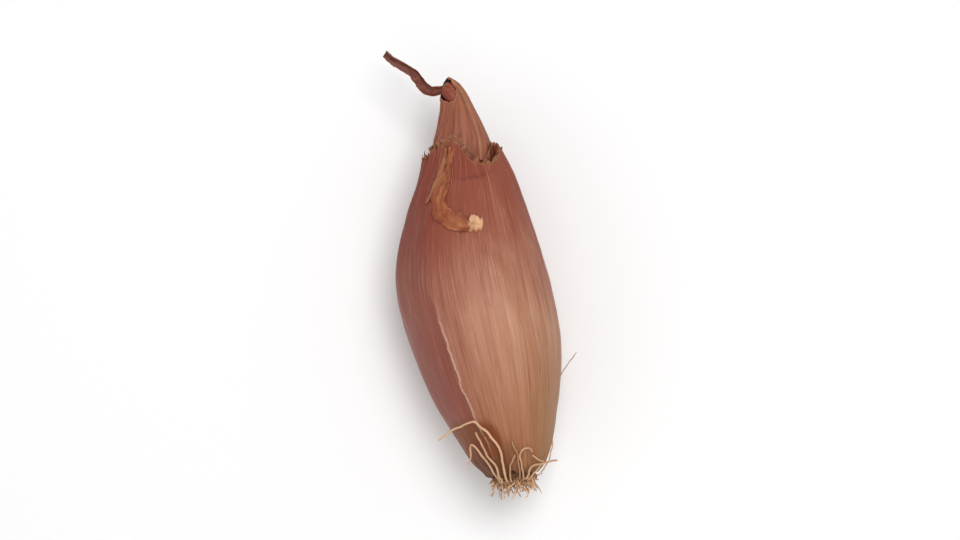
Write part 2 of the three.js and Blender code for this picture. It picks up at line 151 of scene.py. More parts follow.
class Tree:
    """A geometry or shader tree, written as expressions."""

    def __init__(self, tree):
        self.tree = tree

    def node(self, kind, inputs=None, output=0, **settings):
        """Add a node with values or wires for its inputs, and its settings. An input that joins several
        things takes a list of wires."""
        made = self.tree.nodes.new(kind)
        for name, value in settings.items():
            setattr(made, name, value)
        for name, value in (inputs or {}).items():
            if isinstance(value, Wire):
                value = [value]
            if isinstance(value, list):
                for wire in value:
                    self.tree.links.new(wire.socket, made.inputs[name])
            else:
                made.inputs[name].default_value = value
        if isinstance(output, tuple):
            return [Wire(self, made.outputs[each]) for each in output]
        return Wire(self, made.outputs[output])

    def math(self, operation, *values):
        return self.node("ShaderNodeMath", dict(enumerate(values)), operation=operation)

    def cos(self, angle):
        return self.math("COSINE", angle)

    def sin(self, angle):
        return self.math("SINE", angle)

    def smooth(self, low, high, value):
        """0 below low, 1 above high, and smooth between them."""
        inputs = {"Value": value, "From Min": low, "From Max": high}
        return self.node("ShaderNodeMapRange", inputs, interpolation_type="SMOOTHSTEP")

    def fade(self, low, high, value):
        """1 below low, 0 above high, and smooth between them."""
        return 1 - self.smooth(low, high, value)

    def hump(self, value, middle, spread):
        """1 at the middle, falling to 0 on both sides of it."""
        off = (value - middle) / spread
        return self.math("EXPONENT", off * off * -1.0)

    def beside(self, angle, middle):
        """How far an angle is past the middle one, the short way round."""
        return self.math("WRAP", angle - middle, math.pi, -math.pi)

    def facing(self, angle, middle, spread):
        """1 at the middle angle, falling to 0 on both sides of it. Both are in degrees."""
        return self.hump(self.beside(angle, middle * DEGREE), 0.0, spread * DEGREE)

    def vector(self, x, y, z):
        return self.node("ShaderNodeCombineXYZ", {"X": x, "Y": y, "Z": z})

    def parts(self, vector):
        """The three numbers of a vector."""
        return self.node("ShaderNodeSeparateXYZ", {"Vector": vector}, output=(0, 1, 2))

    def total(self, *vectors):
        """The sum of two or three vectors."""
        first, second, *rest = vectors
        added = self.node("ShaderNodeVectorMath", {0: first, 1: second}, operation="ADD")
        return self.total(added, *rest) if rest else added

    def scaled(self, vector, amount):
        return self.node("ShaderNodeVectorMath", {0: vector, "Scale": amount}, operation="SCALE")

    def spot(self, kind="GeometryNodeInputPosition", output=0):
        """Where a point is, in mm."""
        return self.scaled(self.node(kind, output=output), 1 / MM)

    def grain(self, vector, size, detail=2.0, rough=0.5):
        """Noise from 0 to 1 whose spots are about size across, in the vector's own unit."""
        inputs = {"Vector": vector, "Scale": 1 / size, "Detail": detail, "Roughness": rough}
        return self.node("ShaderNodeTexNoise", inputs)

    def uneven(self, vector, size, detail=2.0, rough=0.5):
        """The same noise from -0.5 to 0.5."""
        return self.grain(vector, size, detail, rough) - 0.5

    def lines(self, vector, size, width):
        """1 along wandering lines that lie about size apart, and 0 between them."""
        return self.fade(0.0, width, self.math("ABSOLUTE", self.uneven(vector, size, 1.0)))

    def mix(self, share, first, second):
        return self.node("ShaderNodeMix", {0: share, 6: first, 7: second}, output=2, data_type="RGBA")

    def coats(self, colour, *layers):
        """The colour under layers of others, each with the share that it covers and its sRGB code."""
        for share, code in layers:
            colour = self.mix(share, colour, paint(code))
        return colour

    def read(self, name, kind="FLOAT"):
        """A named attribute, in a geometry tree."""
        return self.node("GeometryNodeInputNamedAttribute", {"Name": name}, data_type=kind)

    def marked(self, name, output=2):
        """A named attribute, in a shader tree: output 2 is its number, 1 its vector."""
        return self.node("ShaderNodeAttribute", output=output, attribute_name=name)

    def sampled(self, curve, name, share, kind="FLOAT_VECTOR"):
        """A named attribute of a curve at a share of its length."""
        settings = {"data_type": kind, "mode": "FACTOR", "use_all_curves": True}
        inputs = {"Curves": curve, "Value": self.read(name, kind), "Factor": share}
        return self.node("GeometryNodeSampleCurve", inputs, **settings)

    def store(self, geometry, name, value, kind="FLOAT"):
        settings = {"data_type": kind, "domain": "POINT"}
        inputs = {"Geometry": geometry, "Name": name, "Value": value}
        return self.node("GeometryNodeStoreNamedAttribute", inputs, **settings)

    def marks(self, geometry, **numbers):
        """Keep numbers as named attributes of the points."""
        for name, value in numbers.items():
            geometry = self.store(geometry, name, value)
        return geometry

    def place(self, geometry, position):
        return self.node("GeometryNodeSetPosition", {"Geometry": geometry, "Position": position})

    def finish(self, shader, colour, rough, height):
        """Link a material's colour, its roughness and its fine relief, in metres, to its shader."""
        bump = self.node("ShaderNodeBump", {"Strength": 0.6, "Distance": 1.0, "Height": height})
        for name, wire in (("Base Color", colour), ("Roughness", rough), ("Normal", bump)):
            self.tree.links.new(wire.socket, shader.inputs[name])


def rail(name, *chains, closed=False):
    """Edges through the rings of one or more tubes. A ring is a dict of numbers and vectors, kept as
    attributes, and "at" is where its point is, if that matters."""
    rings = [ring for chain in chains for ring in chain]
    spots = [ring.pop("at", Vector((0, i, 0))) * MM for i, ring in enumerate(rings)]
    edges, first = [], 0
    for chain in chains:
        edges += [(first + i, first + i + 1) for i in range(len(chain) - 1)]
        first += len(chain)
    if closed:
        edges.append((first - 1, 0))
    mesh = bpy.data.meshes.new(name)
    mesh.from_pydata(spots, edges, [])
    for key, sample in rings[0].items():
        if isinstance(sample, Vector):
            layer = mesh.attributes.new(key, "FLOAT_VECTOR", "POINT")
            layer.data.foreach_set("vector", [x for ring in rings for x in ring[key]])
        else:
            layer = mesh.attributes.new(key, "FLOAT", "POINT")
            layer.data.foreach_set("value", [ring[key] for ring in rings])
    return mesh


def sleeve(tree, start, around, caps=True):
    """A tube over the rail's rings, and each point's angle round its ring with its cosine and sine."""
    circle = tree.node("GeometryNodeCurvePrimitiveCircle", {"Resolution": around, "Radius": MM})
    circle = tree.store(circle, "turn", tree.node("GeometryNodeInputIndex") / around)
    curve = tree.node("GeometryNodeMeshToCurve", {"Mesh": start})
    inputs = {"Curve": curve, "Profile Curve": circle, "Fill Caps": caps}
    tube = tree.node("GeometryNodeCurveToMesh", inputs)
    angle = tree.read("turn") * TURN
    return tree.node("GeometryNodeFlipFaces", {"Mesh": tube}), angle, tree.cos(angle), tree.sin(angle)


def put(name, data):
    """A new object in the scene."""
    made = bpy.data.objects.new(name, data)
    bpy.context.scene.collection.objects.link(made)
    return made


def grow(name, start, sizes, shape, material):
    """A plain mesh grown from the start by a geometry tree whose named inputs are the sizes."""
    group = bpy.data.node_groups.new(name, "GeometryNodeTree")
    group.interface.new_socket("Geometry", in_out="INPUT", socket_type="NodeSocketGeometry")
    group.interface.new_socket("Geometry", in_out="OUTPUT", socket_type="NodeSocketGeometry")
    sockets = {}
    for label, value in sizes.items():
        kind = "NodeSocketInt" if isinstance(value, int) else "NodeSocketFloat"
        sockets[label] = group.interface.new_socket(label, in_out="INPUT", socket_type=kind).identifier
    tree = Tree(group)
    entry = group.nodes.new("NodeGroupInput")
    wires = {label: Wire(tree, entry.outputs[label]) for label in sizes}
    shaped = shape(tree, Wire(tree, entry.outputs["Geometry"]), wires)
    whole = tree.node("GeometryNodeRealizeInstances", {"Geometry": shaped})
    finished = tree.node("GeometryNodeSetMaterial", {"Geometry": whole, "Material": material})
    group.links.new(finished.socket, group.nodes.new("NodeGroupOutput").inputs[0])
    bare = put(name + "_start", start)
    modifier = bare.modifiers.new(name, "NODES")
    modifier.node_group = group
    for label, value in sizes.items():
        modifier[sockets[label]] = value
    grown = bare.evaluated_get(bpy.context.evaluated_depsgraph_get())
    mesh = bpy.data.meshes.new_from_object(grown)
    bpy.data.objects.remove(bare)
    mesh.shade_smooth()
    return put(name, mesh)


def fit(piece, slot, *nodes):
    """Fix a finished piece to the shallot, in place of CAD nodes. The slot is not used."""
    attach(piece, "root")
    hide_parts(*nodes)


def paint(code):
    """A colour as the nodes take it, from its sRGB code."""
    parts = [int(code[i : i + 2], 16) / 255 for i in (0, 2, 4)]
    return (*[x / 12.92 if x <= 0.04045 else ((x + 0.055) / 1.055) ** 2.4 for x in parts], 1.0)


def finish_of(name, **constants):
    """A new material's tree and shader, with the shader's unchanging values set."""
    material = bpy.data.materials.new(name)
    material.use_nodes = True
    shader = material.node_tree.nodes["Principled BSDF"]
    for label, value in constants.items():
        shader.inputs[label.replace("_", " ")].default_value = value
    return material, Tree(material.node_tree), shader


def bulb_rings(count):
    """The bulb's rings: out of the dimple, over the belly, round the collar's rim and into the socket."""

    def ring(along, reach, relief, pull, foot, steep=1.0):
        known = min(max(along, 0), COLLAR_RIM)
        slope = (thickness(known + 0.25) - thickness(known - 0.25)) / 0.5
        return {
            "along": along,
            "reach": reach,
            "side": through(BULB_RINGS, SIDE, known),
            "lift": through(BULB_RINGS, LIFT, known),
            "slope": slope * steep,
            "relief": relief,
            "pull": pull,
            "foot": foot,
        }

    rings = [ring(DIMPLE_DEPTH, DIMPLE_RADIUS - share, 0.0, 0.0, 0.0, 0.0) for share in (0.6, 0.0)]
    rings.append(ring(0.45, DIMPLE_RADIUS, 0.2, 0.0, 1.0, 0.9))
    rings.append(ring(0.12, DIMPLE_RADIUS + 0.08, 0.6, 0.0, 1.0, 0.95))

    # Up the outside the rings lie closer together towards both ends.
    first = 0.1
    start = 0.5 - 0.5 * math.cos(math.pi * first)
    for i in range(count + 1):
        share = 0.5 - 0.5 * math.cos(math.pi * (first + (1 - first) * i / count))
        t = (share - start) / (1 - start)
        along = t * COLLAR_RIM
        rings.append(ring(along, thickness(along), 1.0, t**6, max(0, 1 - along / 6) ** 2))
    rim = thickness(COLLAR_RIM)
    for depth in SOCKET_RINGS:
        inward = min(1, depth * 2.5)
        reach = (rim - SKIN_WALL) * (1 - inward) + SOCKET_RADIUS * inward
        rings.append(ring(COLLAR_RIM - depth * SOCKET_DEPTH, reach, 1 - inward, 1 - depth, 0.0, 1 - inward))
    return rings


def torn_down(tree, angle):
    """How far up or down the torn skins end round the neck: highest top left, lowest top right."""
    *crest, height = COLLAR_CREST
    *notch, depth = COLLAR_NOTCH
    return tree.facing(angle, *crest) * height - tree.facing(angle, *notch) * depth


def bulb_shape(tree, start, size):
    tube, angle, cos, sin = sleeve(tree, start, size["Around"])
    relief = tree.read("relief")
    straight = tree.read("along")

    # The torn rim: broad tongues with fine teeth on them.
    tongues = tree.sin(angle * 3 + 0.6) * 0.5 + tree.sin(angle * 7 + 2.1) * 0.3 + tree.sin(angle * 12) * 0.2
    teeth = tree.uneven(tree.vector(cos * 9, sin * 9, 0.0), 1.3, 4.0, 0.7)
    torn = tongues * size["Tongues"] + teeth * size["Teeth"] + torn_down(tree, angle)

    # The frayed skin round the root end, with tears that open the dark hollow behind it.
    frayed = (tree.grain(tree.vector(cos * 6.5, sin * 6.5, 3.0), 1.1, 3.0, 0.65) - 0.45) * size["Frayed foot"]
    for middle, spread, depth in FOOT_NOTCHES:
        frayed = frayed + tree.facing(angle, middle, spread) * depth
    along = straight + tree.read("pull") * torn + tree.read("foot") * frayed

    # The facet and the ridge, and the step down from the skin's free edge.
    waver = tree.uneven(tree.vector(0.0, 0.0, along), 7.0, 3.0) * (9 * DEGREE)
    waver = waver + tree.uneven(tree.vector(0.0, 5.0, along), 1.3, 3.0, 0.7) * (1.8 * DEGREE)
    past = tree.beside(angle, (along * size["Ridge turn"] + size["Ridge angle"]) * DEGREE + waver)
    body = tree.smooth(2.0, 16.0, along) * tree.fade(62.0, 76.0, along)
    below = tree.smooth(0.0, 0.025, past) * tree.fade(0.9, 1.4, past) * tree.fade(34.0, 54.0, along)
    fading = tree.fade(*EDGE_FADES, along)
    facet = tree.facing(angle, 150, 22) * size["Facet"]
    ridge = tree.hump(past, 0.0, 7 * DEGREE) * size["Ridge"]
    lip = tree.hump(past, -0.015, 0.035) * fading * size["Lip"]
    oval = tree.cos((angle - 120 * DEGREE) * 2) * size["Oval"]
    lobes = tree.cos((angle - 40 * DEGREE) * 3) * size["Lobes"]
    form = body * (ridge - facet - below * size["Skin step"] + lip + oval + lobes)

    # Pleats at both ends, veins all the way, and the dents and blisters of dry skin.
    gathered = tree.smooth(60.0, 84.0, along) + 0.6 * tree.fade(0.0, 12.0, along)
    phase = (angle - along * (0.15 * DEGREE)) * 17 + tree.sin(angle * 2) * 1.5
    pleats = tree.sin(phase) * gathered * size["Pleats"]
    wound = cos * GRAIN_RADIUS, sin * GRAIN_RADIUS
    lengthwise = tree.vector(*wound, along * 0.07)
    veins = tree.uneven(lengthwise, 1.5, 2.0) * size["Veins"]
    creases = tree.uneven(lengthwise, 3.2, 3.0, 0.6) * (gathered * 1.6 + 0.2) * size["Creases"]
    dents = tree.uneven(tree.vector(*wound, along), 13.0, 2.0) * size["Dents"]
    wave = tree.sin(angle * 2 + 0.4) * tree.smooth(76.0, 84.0, along) * 0.35
    flutter = tree.uneven(tree.vector(cos * 9, sin * 9, along * 0.4), 2.2, 3.0) * size["Flutter"]
    wave = wave + flutter * tree.smooth(78.5, 83.0, along)
    tuck = tree.smooth(75.4, 76.6, along) * tree.fade(77.0, 82.0, along) * size["Tuck"]
    tuck = tuck * tree.facing(angle, 84, 12)
    skin = (form + pleats + veins + creases + dents + wave + tuck) * relief
    radius = tree.read("reach") + tree.read("slope") * (along - straight) + skin

    x = tree.read("side") + radius * cos
    z = tree.math("MAXIMUM", tree.read("lift") + radius * sin + AXIS_HEIGHT, 0.0)
    tube = tree.store(tube, "skin_place", tree.vector(cos, sin, along), "FLOAT_VECTOR")
    tube = tree.marks(
        tube,
        under=below * body,
        edge=tree.hump(past, -0.01, 0.014) * body * fading,
        rim=(COLLAR_RIM + torn - along) + (1 - relief) * 10,
        # The hollow round the root plate, which the skin's finish paints nearly black as shade.
        hollow=(1 - relief) * tree.fade(10.0, 20.0, straight),
    )
    return tree.place(tube, tree.vector(x * MM, (along - REST_FROM_ROOT) * MM, z * MM))


def coppery_skin():
    """Dry shallot skin: satin copper-pink, streaked lengthwise with fine darker threads and veins, browner
    at both ends and redder where the outer skin is off. Painted shade darkens its left side, a line under
    the fold below the collar and the hollow round the root plate."""
    material, tree, shader = finish_of("coppery_skin", Specular_IOR_Level=0.27)
    cos, sin, along = tree.parts(tree.marked("skin_place", 1))

    def toward(angle, width):
        """1 on the side of the bulb that faces the angle, 0 outside the width round it."""
        facing = cos * math.cos(angle * DEGREE) + sin * math.sin(angle * DEGREE)
        return tree.smooth(math.cos(width * DEGREE), math.cos(width * DEGREE / 3), facing)

    wound = cos * GRAIN_RADIUS, sin * GRAIN_RADIUS
    flat = tree.vector(*wound, along)
    lengthwise = tree.vector(*wound, along * 0.06)
    threads = tree.vector(*wound, along * 0.035)
    bands = tree.grain(lengthwise, 4.5, 3.0, 0.6)
    veins = tree.lines(threads, 2.4, 0.03)
    fine_veins = tree.lines(tree.vector(*wound, along * 0.05 + 40), 1.1, 0.05)
    hairs = tree.grain(threads, 0.5, 3.0, 0.65)
    clouds = tree.grain(flat, 15.0, 4.0, 0.6)
    patches = tree.grain(tree.vector(*wound, along * 0.4), 5.0, 4.0, 0.6)
    flecks = tree.grain(flat, 0.9, 3.0, 0.7)

    shoulder = tree.smooth(34.0, 72.0, along + (patches - 0.5) * 26)
    foot = tree.fade(2.0, 42.0, along + (patches - 0.5) * 18)
    olive = toward(10, 70) * tree.fade(14.0, 52.0, along)
    # The left side is darker and redder: partly the redder skin there, partly painted shade.
    left = toward(165, 79) * tree.smooth(8.0, 22.0, along)
    brown = toward(146, 78) * tree.fade(5.0, 13.0, along + (patches - 0.5) * 8)
    rust = toward(136, 48) * tree.hump(along, 10.5, 4.2)
    red = toward(84, 44) * tree.smooth(74.5, 76.5, along)
    # A soft dark line just below the red fold under the collar: painted shadow of the fold's edge.
    tuck = toward(80, 24) * tree.hump(along + (clouds - 0.5) * 4, 76.0, 0.6)
    edge = tree.marked("edge") * tree.smooth(0.3, 0.55, flecks * 0.5 + clouds * 0.5)
    rim = tree.fade(0.0, 1.1, tree.marked("rim") + (flecks - 0.5) * 2)
    frayed = tree.fade(0.3, 3.2, along + (flecks - 0.5) * 2)
    colour = tree.coats(
        paint("a66e55"),
        (tree.smooth(0.3, 0.7, bands), "c09075"),
        (tree.smooth(0.35, 0.7, clouds) * 0.5, "b17861"),
        (tree.smooth(0.45, 0.75, patches) * 0.4, "ad8060"),
        (shoulder * 0.92, "86402e"),
        (foot * 0.75, "955e37"),
        (olive * 0.32, "957443"),
        # painted shade, with the redder skin, on the left side
        (left * 0.7, "7b3329"),
        (tree.marked("under") * 0.6, "863f33"),
        (brown * 0.9, "5f3416"),
        (tree.smooth(0.1, 0.45, rust + (patches - 0.5) * 0.5) * 0.9, "7a3c14"),
        (red * 0.45, "7d3427"),
        # painted shadow under the fold's edge
        (tuck * 0.4, "5b2219"),
        (tree.smooth(0.5, 0.74, hairs) * 0.32, "874a37"),
        (tree.fade(0.26, 0.46, hairs) * 0.22, "dab096"),
        (fine_veins * tree.smooth(0.4, 0.65, patches) * 0.22, "82432f"),
        (veins * tree.smooth(0.35, 0.6, clouds) * 0.42, "74382a"),
        (tree.smooth(0.62, 0.85, flecks) * 0.25, "dfb597"),
        (tree.fade(0.2, 0.36, flecks) * 0.3, "7c4733"),
        (edge * 0.75, "e2b7a0"),
        (rim * 0.5, "9a6744"),
        (frayed * 0.6, "6e4424"),
        # painted shade: the hollow round the root plate, nearly black
        (tree.marked("hollow") * 0.9, "241209"),
    )

    rough = 0.46 + (clouds - 0.5) * 0.2 + (hairs - 0.5) * 0.2 + rim * 0.2 + foot * 0.08 + shoulder * 0.25
    height = (hairs * 0.6 + flecks * 0.2 + veins * 0.5 + fine_veins * 0.3) * 0.00011
    tree.finish(shader, colour, rough, height)
    return material


bulb_sizes = {
    "Around": 340,
    "Facet": 1.1,
    "Ridge angle": 113.0,
    "Ridge turn": 0.16,
    "Ridge": 0.45,
    "Lip": 0.22,
    "Skin step": 0.4,
    "Oval": 0.25,
    "Lobes": 0.2,
    "Pleats": 0.36,
    "Veins": 0.1,
    "Creases": 0.3,
    "Dents": 0.8,
    "Tuck": 0.25,
    "Flutter": 1.5,
    "Tongues": 1.6,
    "Teeth": 4.2,
    "Frayed foot": 2.2,
}
bulb = grow("bulb_skin", rail("bulb_rail", bulb_rings(RINGS_UP)), bulb_sizes, bulb_shape, coppery_skin())
fit(bulb, "bulb_skin", "bulb")


# ---- The root plate ----
# The bulb's short woody stem: a brown knobbly disc in the hollow of its root end. It is rough with the
# stubs of roots that broke off.

# From the outer face to inside the hollow: distance along the bulb, and share of the disc's radius.
PLATE_RINGS = [(-1.6, 0.1), (-1.6, 0.24), (-1.55, 0.38), (-1.5, 0.52), (-1.4, 0.66), (-1.2, 0.79)]
PLATE_RINGS += [(-0.9, 0.9), (-0.5, 0.97), (0.0, 1.0), (0.5, 1.0), (1.2, 0.99), (2.5, 0.97)]


def swept(tree, curve, sides, radius, scale):
    """A closed round rod along a curve."""
    circle = tree.node("GeometryNodeCurvePrimitiveCircle", {"Resolution": sides, "Radius": radius})
    inputs = {"Curve": curve, "Profile Curve": circle, "Scale": scale, "Fill Caps": True}
    return tree.node("GeometryNodeCurveToMesh", inputs)


def copied(tree, points, instance, rotation, scale):
    """Real copies of an instance on points."""
    inputs = {"Points": points, "Instance": instance, "Rotation": rotation, "Scale": scale}
    copies = tree.node("GeometryNodeInstanceOnPoints", inputs)
    return tree.node("GeometryNodeRealizeInstances", {"Geometry": copies})


def plate_shape(tree, start, size):
    tube, angle, cos, sin = sleeve(tree, start, size["Around"])
    reach, along = tree.read("reach") * size["Radius"], tree.read("along")
    flat = tree.vector(cos * reach, sin * reach, along)
    knobs = tree.uneven(flat, 1.3, 3.0, 0.65) * size["Knobs"]
    spread = reach * (1 + tree.sin(angle * 7) * 0.03) - knobs * 0.2
    x = BULB_RINGS[0][SIDE] + spread * cos
    y = along - REST_FROM_ROOT - knobs * tree.fade(-0.4, 0.6, along)
    z = AXIS_HEIGHT + BULB_RINGS[0][LIFT] + spread * sin
    disc = tree.place(tube, tree.vector(x * MM, y * MM, z * MM))
    disc = tree.store(disc, "stub", 0.0)

    # The broken roots: short tapered pegs all over the outer face.
    ends = {"Start": (0, 0, -0.3 * MM), "End": (0, 0, MM)}
    line = tree.node("GeometryNodeCurvePrimitiveLine", ends)
    line = tree.node("GeometryNodeResampleCurve", {"Curve": line, "Count": 4})
    taper = 1.15 - tree.node("GeometryNodeSplineParameter") * 0.35
    peg = tree.store(swept(tree, line, 6, size["Stub radius"] * MM, taper), "stub", 1.0)
    outer = tree.math("LESS_THAN", tree.parts(tree.node("GeometryNodeInputNormal"))[1], -0.35)
    spread = {"Mesh": disc, "Selection": outer, "Density": size["Stubs per mm2"] * 1e6, "Seed": 4}
    points, straight = tree.node("GeometryNodeDistributePointsOnFaces", spread, output=("Points", "Normal"))
    lean = {0: (-0.5, -0.5, -0.5), 1: (0.5, 0.5, 0.5), "Seed": 5}
    lean = tree.node("FunctionNodeRandomValue", lean, data_type="FLOAT_VECTOR")
    turned = {"Vector": tree.total(straight, lean)}
    turned = tree.node("FunctionNodeAlignRotationToVector", turned, axis="Z")
    tall = tree.node("FunctionNodeRandomValue", {2: 0.3, 3: 1.0, "Seed": 6}, output=1, data_type="FLOAT")
    stubs = copied(tree, points, peg, turned, tree.vector(1.0, 1.0, tall * size["Stub length"]))
    return tree.node("GeometryNodeJoinGeometry", {"Geometry": [disc, stubs]})


def woody_plate():
    """Brown, crumbly root plate with paler broken roots."""
    material, tree, shader = finish_of("woody_plate", Specular_IOR_Level=0.3)
    crumbs = tree.grain(tree.spot("ShaderNodeTexCoord", "Object"), 0.7, 4.0, 0.7)
    stub = tree.marked("stub")
    colour = tree.coats(
        paint("4a2b1a"),
        (tree.smooth(0.3, 0.7, crumbs), "8a6240"),
        (stub * 0.8, "ad865a"),
        (tree.smooth(0.5, 0.75, crumbs) * 0.5, "6b452b"),
    )
    tree.finish(shader, colour, 0.85 - stub * 0.15, crumbs * 0.0002)
    return material


plate_sizes = {
    "Around": 64,
    "Radius": 5.5,
    "Knobs": 1.1,
    "Stub radius": 0.3,
    "Stub length": 1.7,
    "Stubs per mm2": 0.75,
}
plate_rail = rail("plate_rail", [{"along": float(along), "reach": share} for along, share in PLATE_RINGS])
plate = grow("root_plate", plate_rail, plate_sizes, plate_shape, woody_plate())
fit(plate, "roots", "root_tuft")


# ---- The roots ----
# Dried stringy roots, straw-coloured with browner lengths. Most are short and curl round the root end.
# A few long ones are bent back over the bulb and spring off it. All of them grow out of the root plate.

ROOT_RADIUS = 0.34
HAIR_RADIUS = 0.14
FLOOR_GAP = 0.5  # left between the roots and what the bulb lies on
GOLDEN_ANGLE = 2.399963
TUFT_ROOTS, TUFT_CURL = 34, 0.65
HAIR_ROOTS, HAIR_CURL = 56, 1.2
SHORTEST, LONGEST = 2.6, 6.4  # of the tuft and its hairs

# Each long root: its angle and distance from the middle where it leaves the plate, how thick it is beside
# the others, how pale it is, and then distances along the bulb, angles round it and heights over its skin.
LONG_ROOTS = [
    (107, 2.6, 1.0, 0.95, [
        (4.7, 101, 0.9), (8.6, 101, 1.1), (12.4, 107, 1.4), (14.7, 111.8, 1.7), (15.5, 114.3, 1.9),
        (15.3, 119, 1.8), (14.7, 131, 1.8), (13.3, 149, 3.3), (11.6, 159, 6),
    ]),
    (116, 3.4, 0.95, 0.75, [(3.2, 114, 0.7), (5.5, 117, 0.8), (9.2, 119.5, 1.0), (12.9, 119, 1.5)]),
    (124, 4.2, 0.9, 0.8, [
        (4.9, 125, 0.8), (8.4, 129.5, 1.1), (9.5, 132.3, 1.4),
        (8.6, 136.5, 1.5), (6.6, 140, 2.1), (4.4, 144, 3.4),
    ]),
    (65, 3.5, 0.8, 0.7, [(4, 77, 0.9), (5.9, 78, 1.4), (6.9, 74, 1.7), (6.7, 66, 1.7), (5.6, 61, 1.2)]),
    (75, 2.0, 0.75, 0.25, [(4.9, 80.5, 0.8), (6.8, 82.5, 0.9), (9.2, 85, 1.4)]),
    (98, 3.6, 0.8, 0.5, [(2.9, 94, 0.8), (4.3, 88, 1.3), (5.6, 84.5, 2.0)]),
    (62, 3.2, 0.95, 0.6, [(1.8, 58, 0.9), (2, 46, 1.3), (2.3, 37, 2.2), (2.2, 28, 2.8), (2.0, 18, 3.9)]),
    (50, 4.0, 0.75, 0.9, [(2.3, 38, 1.4), (3.2, 48, 1.1), (4.8, 60, 1.2)]),
    (5, 3.5, 0.5, 0.8, [
        (4, -14, 0.9), (10, -27, 0.9), (17, -27, 0.9), (22.5, -19, 1), (26, -6, 2.2), (28.4, 2, 3.9),
    ]),
]

noise.seed_set(3)  # which the kinks of the roots depend on
skin_points = [vertex.co / MM for vertex in bulb.data.vertices]
skin_tree = BVHTree.FromPolygons(skin_points, [face.vertices for face in bulb.data.polygons])


def from_axis(along, angle, reach):
    """A point at a distance along the bulb, an angle round it and a distance from its axis."""
    known = min(max(along, 0), COLLAR_RIM)
    x = through(BULB_RINGS, SIDE, known) + reach * math.cos(angle)
    z = AXIS_HEIGHT + through(BULB_RINGS, LIFT, known) + reach * math.sin(angle)
    return Vector((x, along - REST_FROM_ROOT, z))


def over_skin(along, angle, height):
    """A point at a height over the bulb's skin."""
    inside = max(along, 0.3)
    outside, axis = from_axis(inside, angle, 40), from_axis(inside, angle, 0)
    hit = skin_tree.ray_cast(outside, (axis - outside).normalized())[0]
    reach = (hit - axis).length if hit else thickness(inside)
    return from_axis(along, angle, reach + height)


def bent_clear(point, radius):
    """The point moved out of the bulb and off the floor, so that a root bends round them."""
    along = point.y + REST_FROM_ROOT
    from_middle = point - from_axis(along, 0, 0)
    angle, away = math.atan2(from_middle.z, from_middle.x), math.hypot(from_middle.x, from_middle.z)
    if along > 0 or (along > -1 and away > plate_sizes["Radius"]):
        least = over_skin(max(0, along), angle, radius + 0.25) - from_axis(along, 0, 0)
        if away < math.hypot(least.x, least.z):
            point = from_axis(along, angle, math.hypot(least.x, least.z))
    return Vector((point.x, point.y, max(point.z, FLOOR_GAP + radius)))


def seeded(seed):
    """The same endless row of numbers from 0 to 1 on every run."""
    state = seed
    while True:
        state = (state * 1664525 + 1013904223) % 2**32
        yield state / 2**32


def glide(points, share):
    """The point at a share of the way along a smooth curve through the points, and the way it heads."""
    spot = min(share * (len(points) - 1), len(points) - 1.0001)
    i, t = int(spot), spot % 1
    a, b, c, d = [points[min(max(j, 0), len(points) - 1)] for j in (i - 1, i, i + 1, i + 2)]
    bend, swing = 2 * a - 5 * b + 4 * c - d, 3 * b - a - 3 * c + d
    point = (2 * b + (c - a) * t + bend * t**2 + swing * t**3) * 0.5
    return point, ((c - a) + 2 * bend * t + 3 * swing * t**2).normalized()


def long_root(angle, reach, rest):
    """The way of a long root: out of the plate, over the rim, and on over the skin."""
    over_rim = (2 * angle + rest[0][1]) / 3 * DEGREE
    points = [
        from_axis(0.2, angle * DEGREE, reach * 0.8),
        from_axis(-1.4, angle * DEGREE, reach + 1.2),
        over_skin(0, over_rim, 1.2),
    ]
    return points + [over_skin(along, turn * DEGREE, height) for along, turn, height in rest]


def short_root(random, index, count, curl):
    """The way of a short root, which leans outwards from the plate and curls as it dries."""
    turn = index * GOLDEN_ANGLE
    reach = plate_sizes["Radius"] * 0.85 * math.sqrt((index + 0.5) / count)
    length = SHORTEST + (LONGEST - SHORTEST) * next(random)
    point = from_axis(-0.4, turn, reach)
    outward = 0.15 + 0.75 * reach / plate_sizes["Radius"]
    heading = Vector((math.cos(turn) * outward, -1.1, math.sin(turn) * outward))
    swirl = Vector((next(random) - 0.5, next(random) - 0.65, next(random) - 0.5)) * curl
    points = [bent_clear(point, ROOT_RADIUS)]
    for _ in range(5):
        heading.normalize()
        point = bent_clear(point + heading * length / 5, ROOT_RADIUS)
        heading += swirl - Vector((0, 0, 0.06))
        points.append(point)
    return points


def root_rings(points, thick, tone, seed):
    """Rings along a root's way, thinner towards its end and kinked a little all along."""
    count = 4 * len(points) + 4
    rings = []
    for i in range(count + 1):
        share = i / count
        point, _ = glide(points, share)
        shiver = noise.noise_vector(point * 0.45 + Vector((seed, 0, 0))) * 0.3 * min(1, share * 4)
        narrow = (1 - 0.28 * share) * (1 + 0.16 * noise.noise(point * 1.1 + Vector((0, seed, 0))))
        end = 0.55 if i == count else 1
        point = bent_clear(point + shiver, thick) if share > 0.15 else point
        rings.append({"at": point, "thick": thick * narrow * end, "tone": tone, "share": share})
    return rings


def root_shape(tree, start, size):
    curve = tree.node("GeometryNodeMeshToCurve", {"Mesh": start})
    tube = swept(tree, curve, size["Sides"], MM, tree.read("thick"))
    knobs = tree.uneven(tree.spot(), 0.8, 2.0) * size["Knobs"] * MM
    offset = tree.scaled(tree.node("GeometryNodeInputNormal"), knobs)
    return tree.node("GeometryNodeSetPosition", {"Geometry": tube, "Offset": offset})


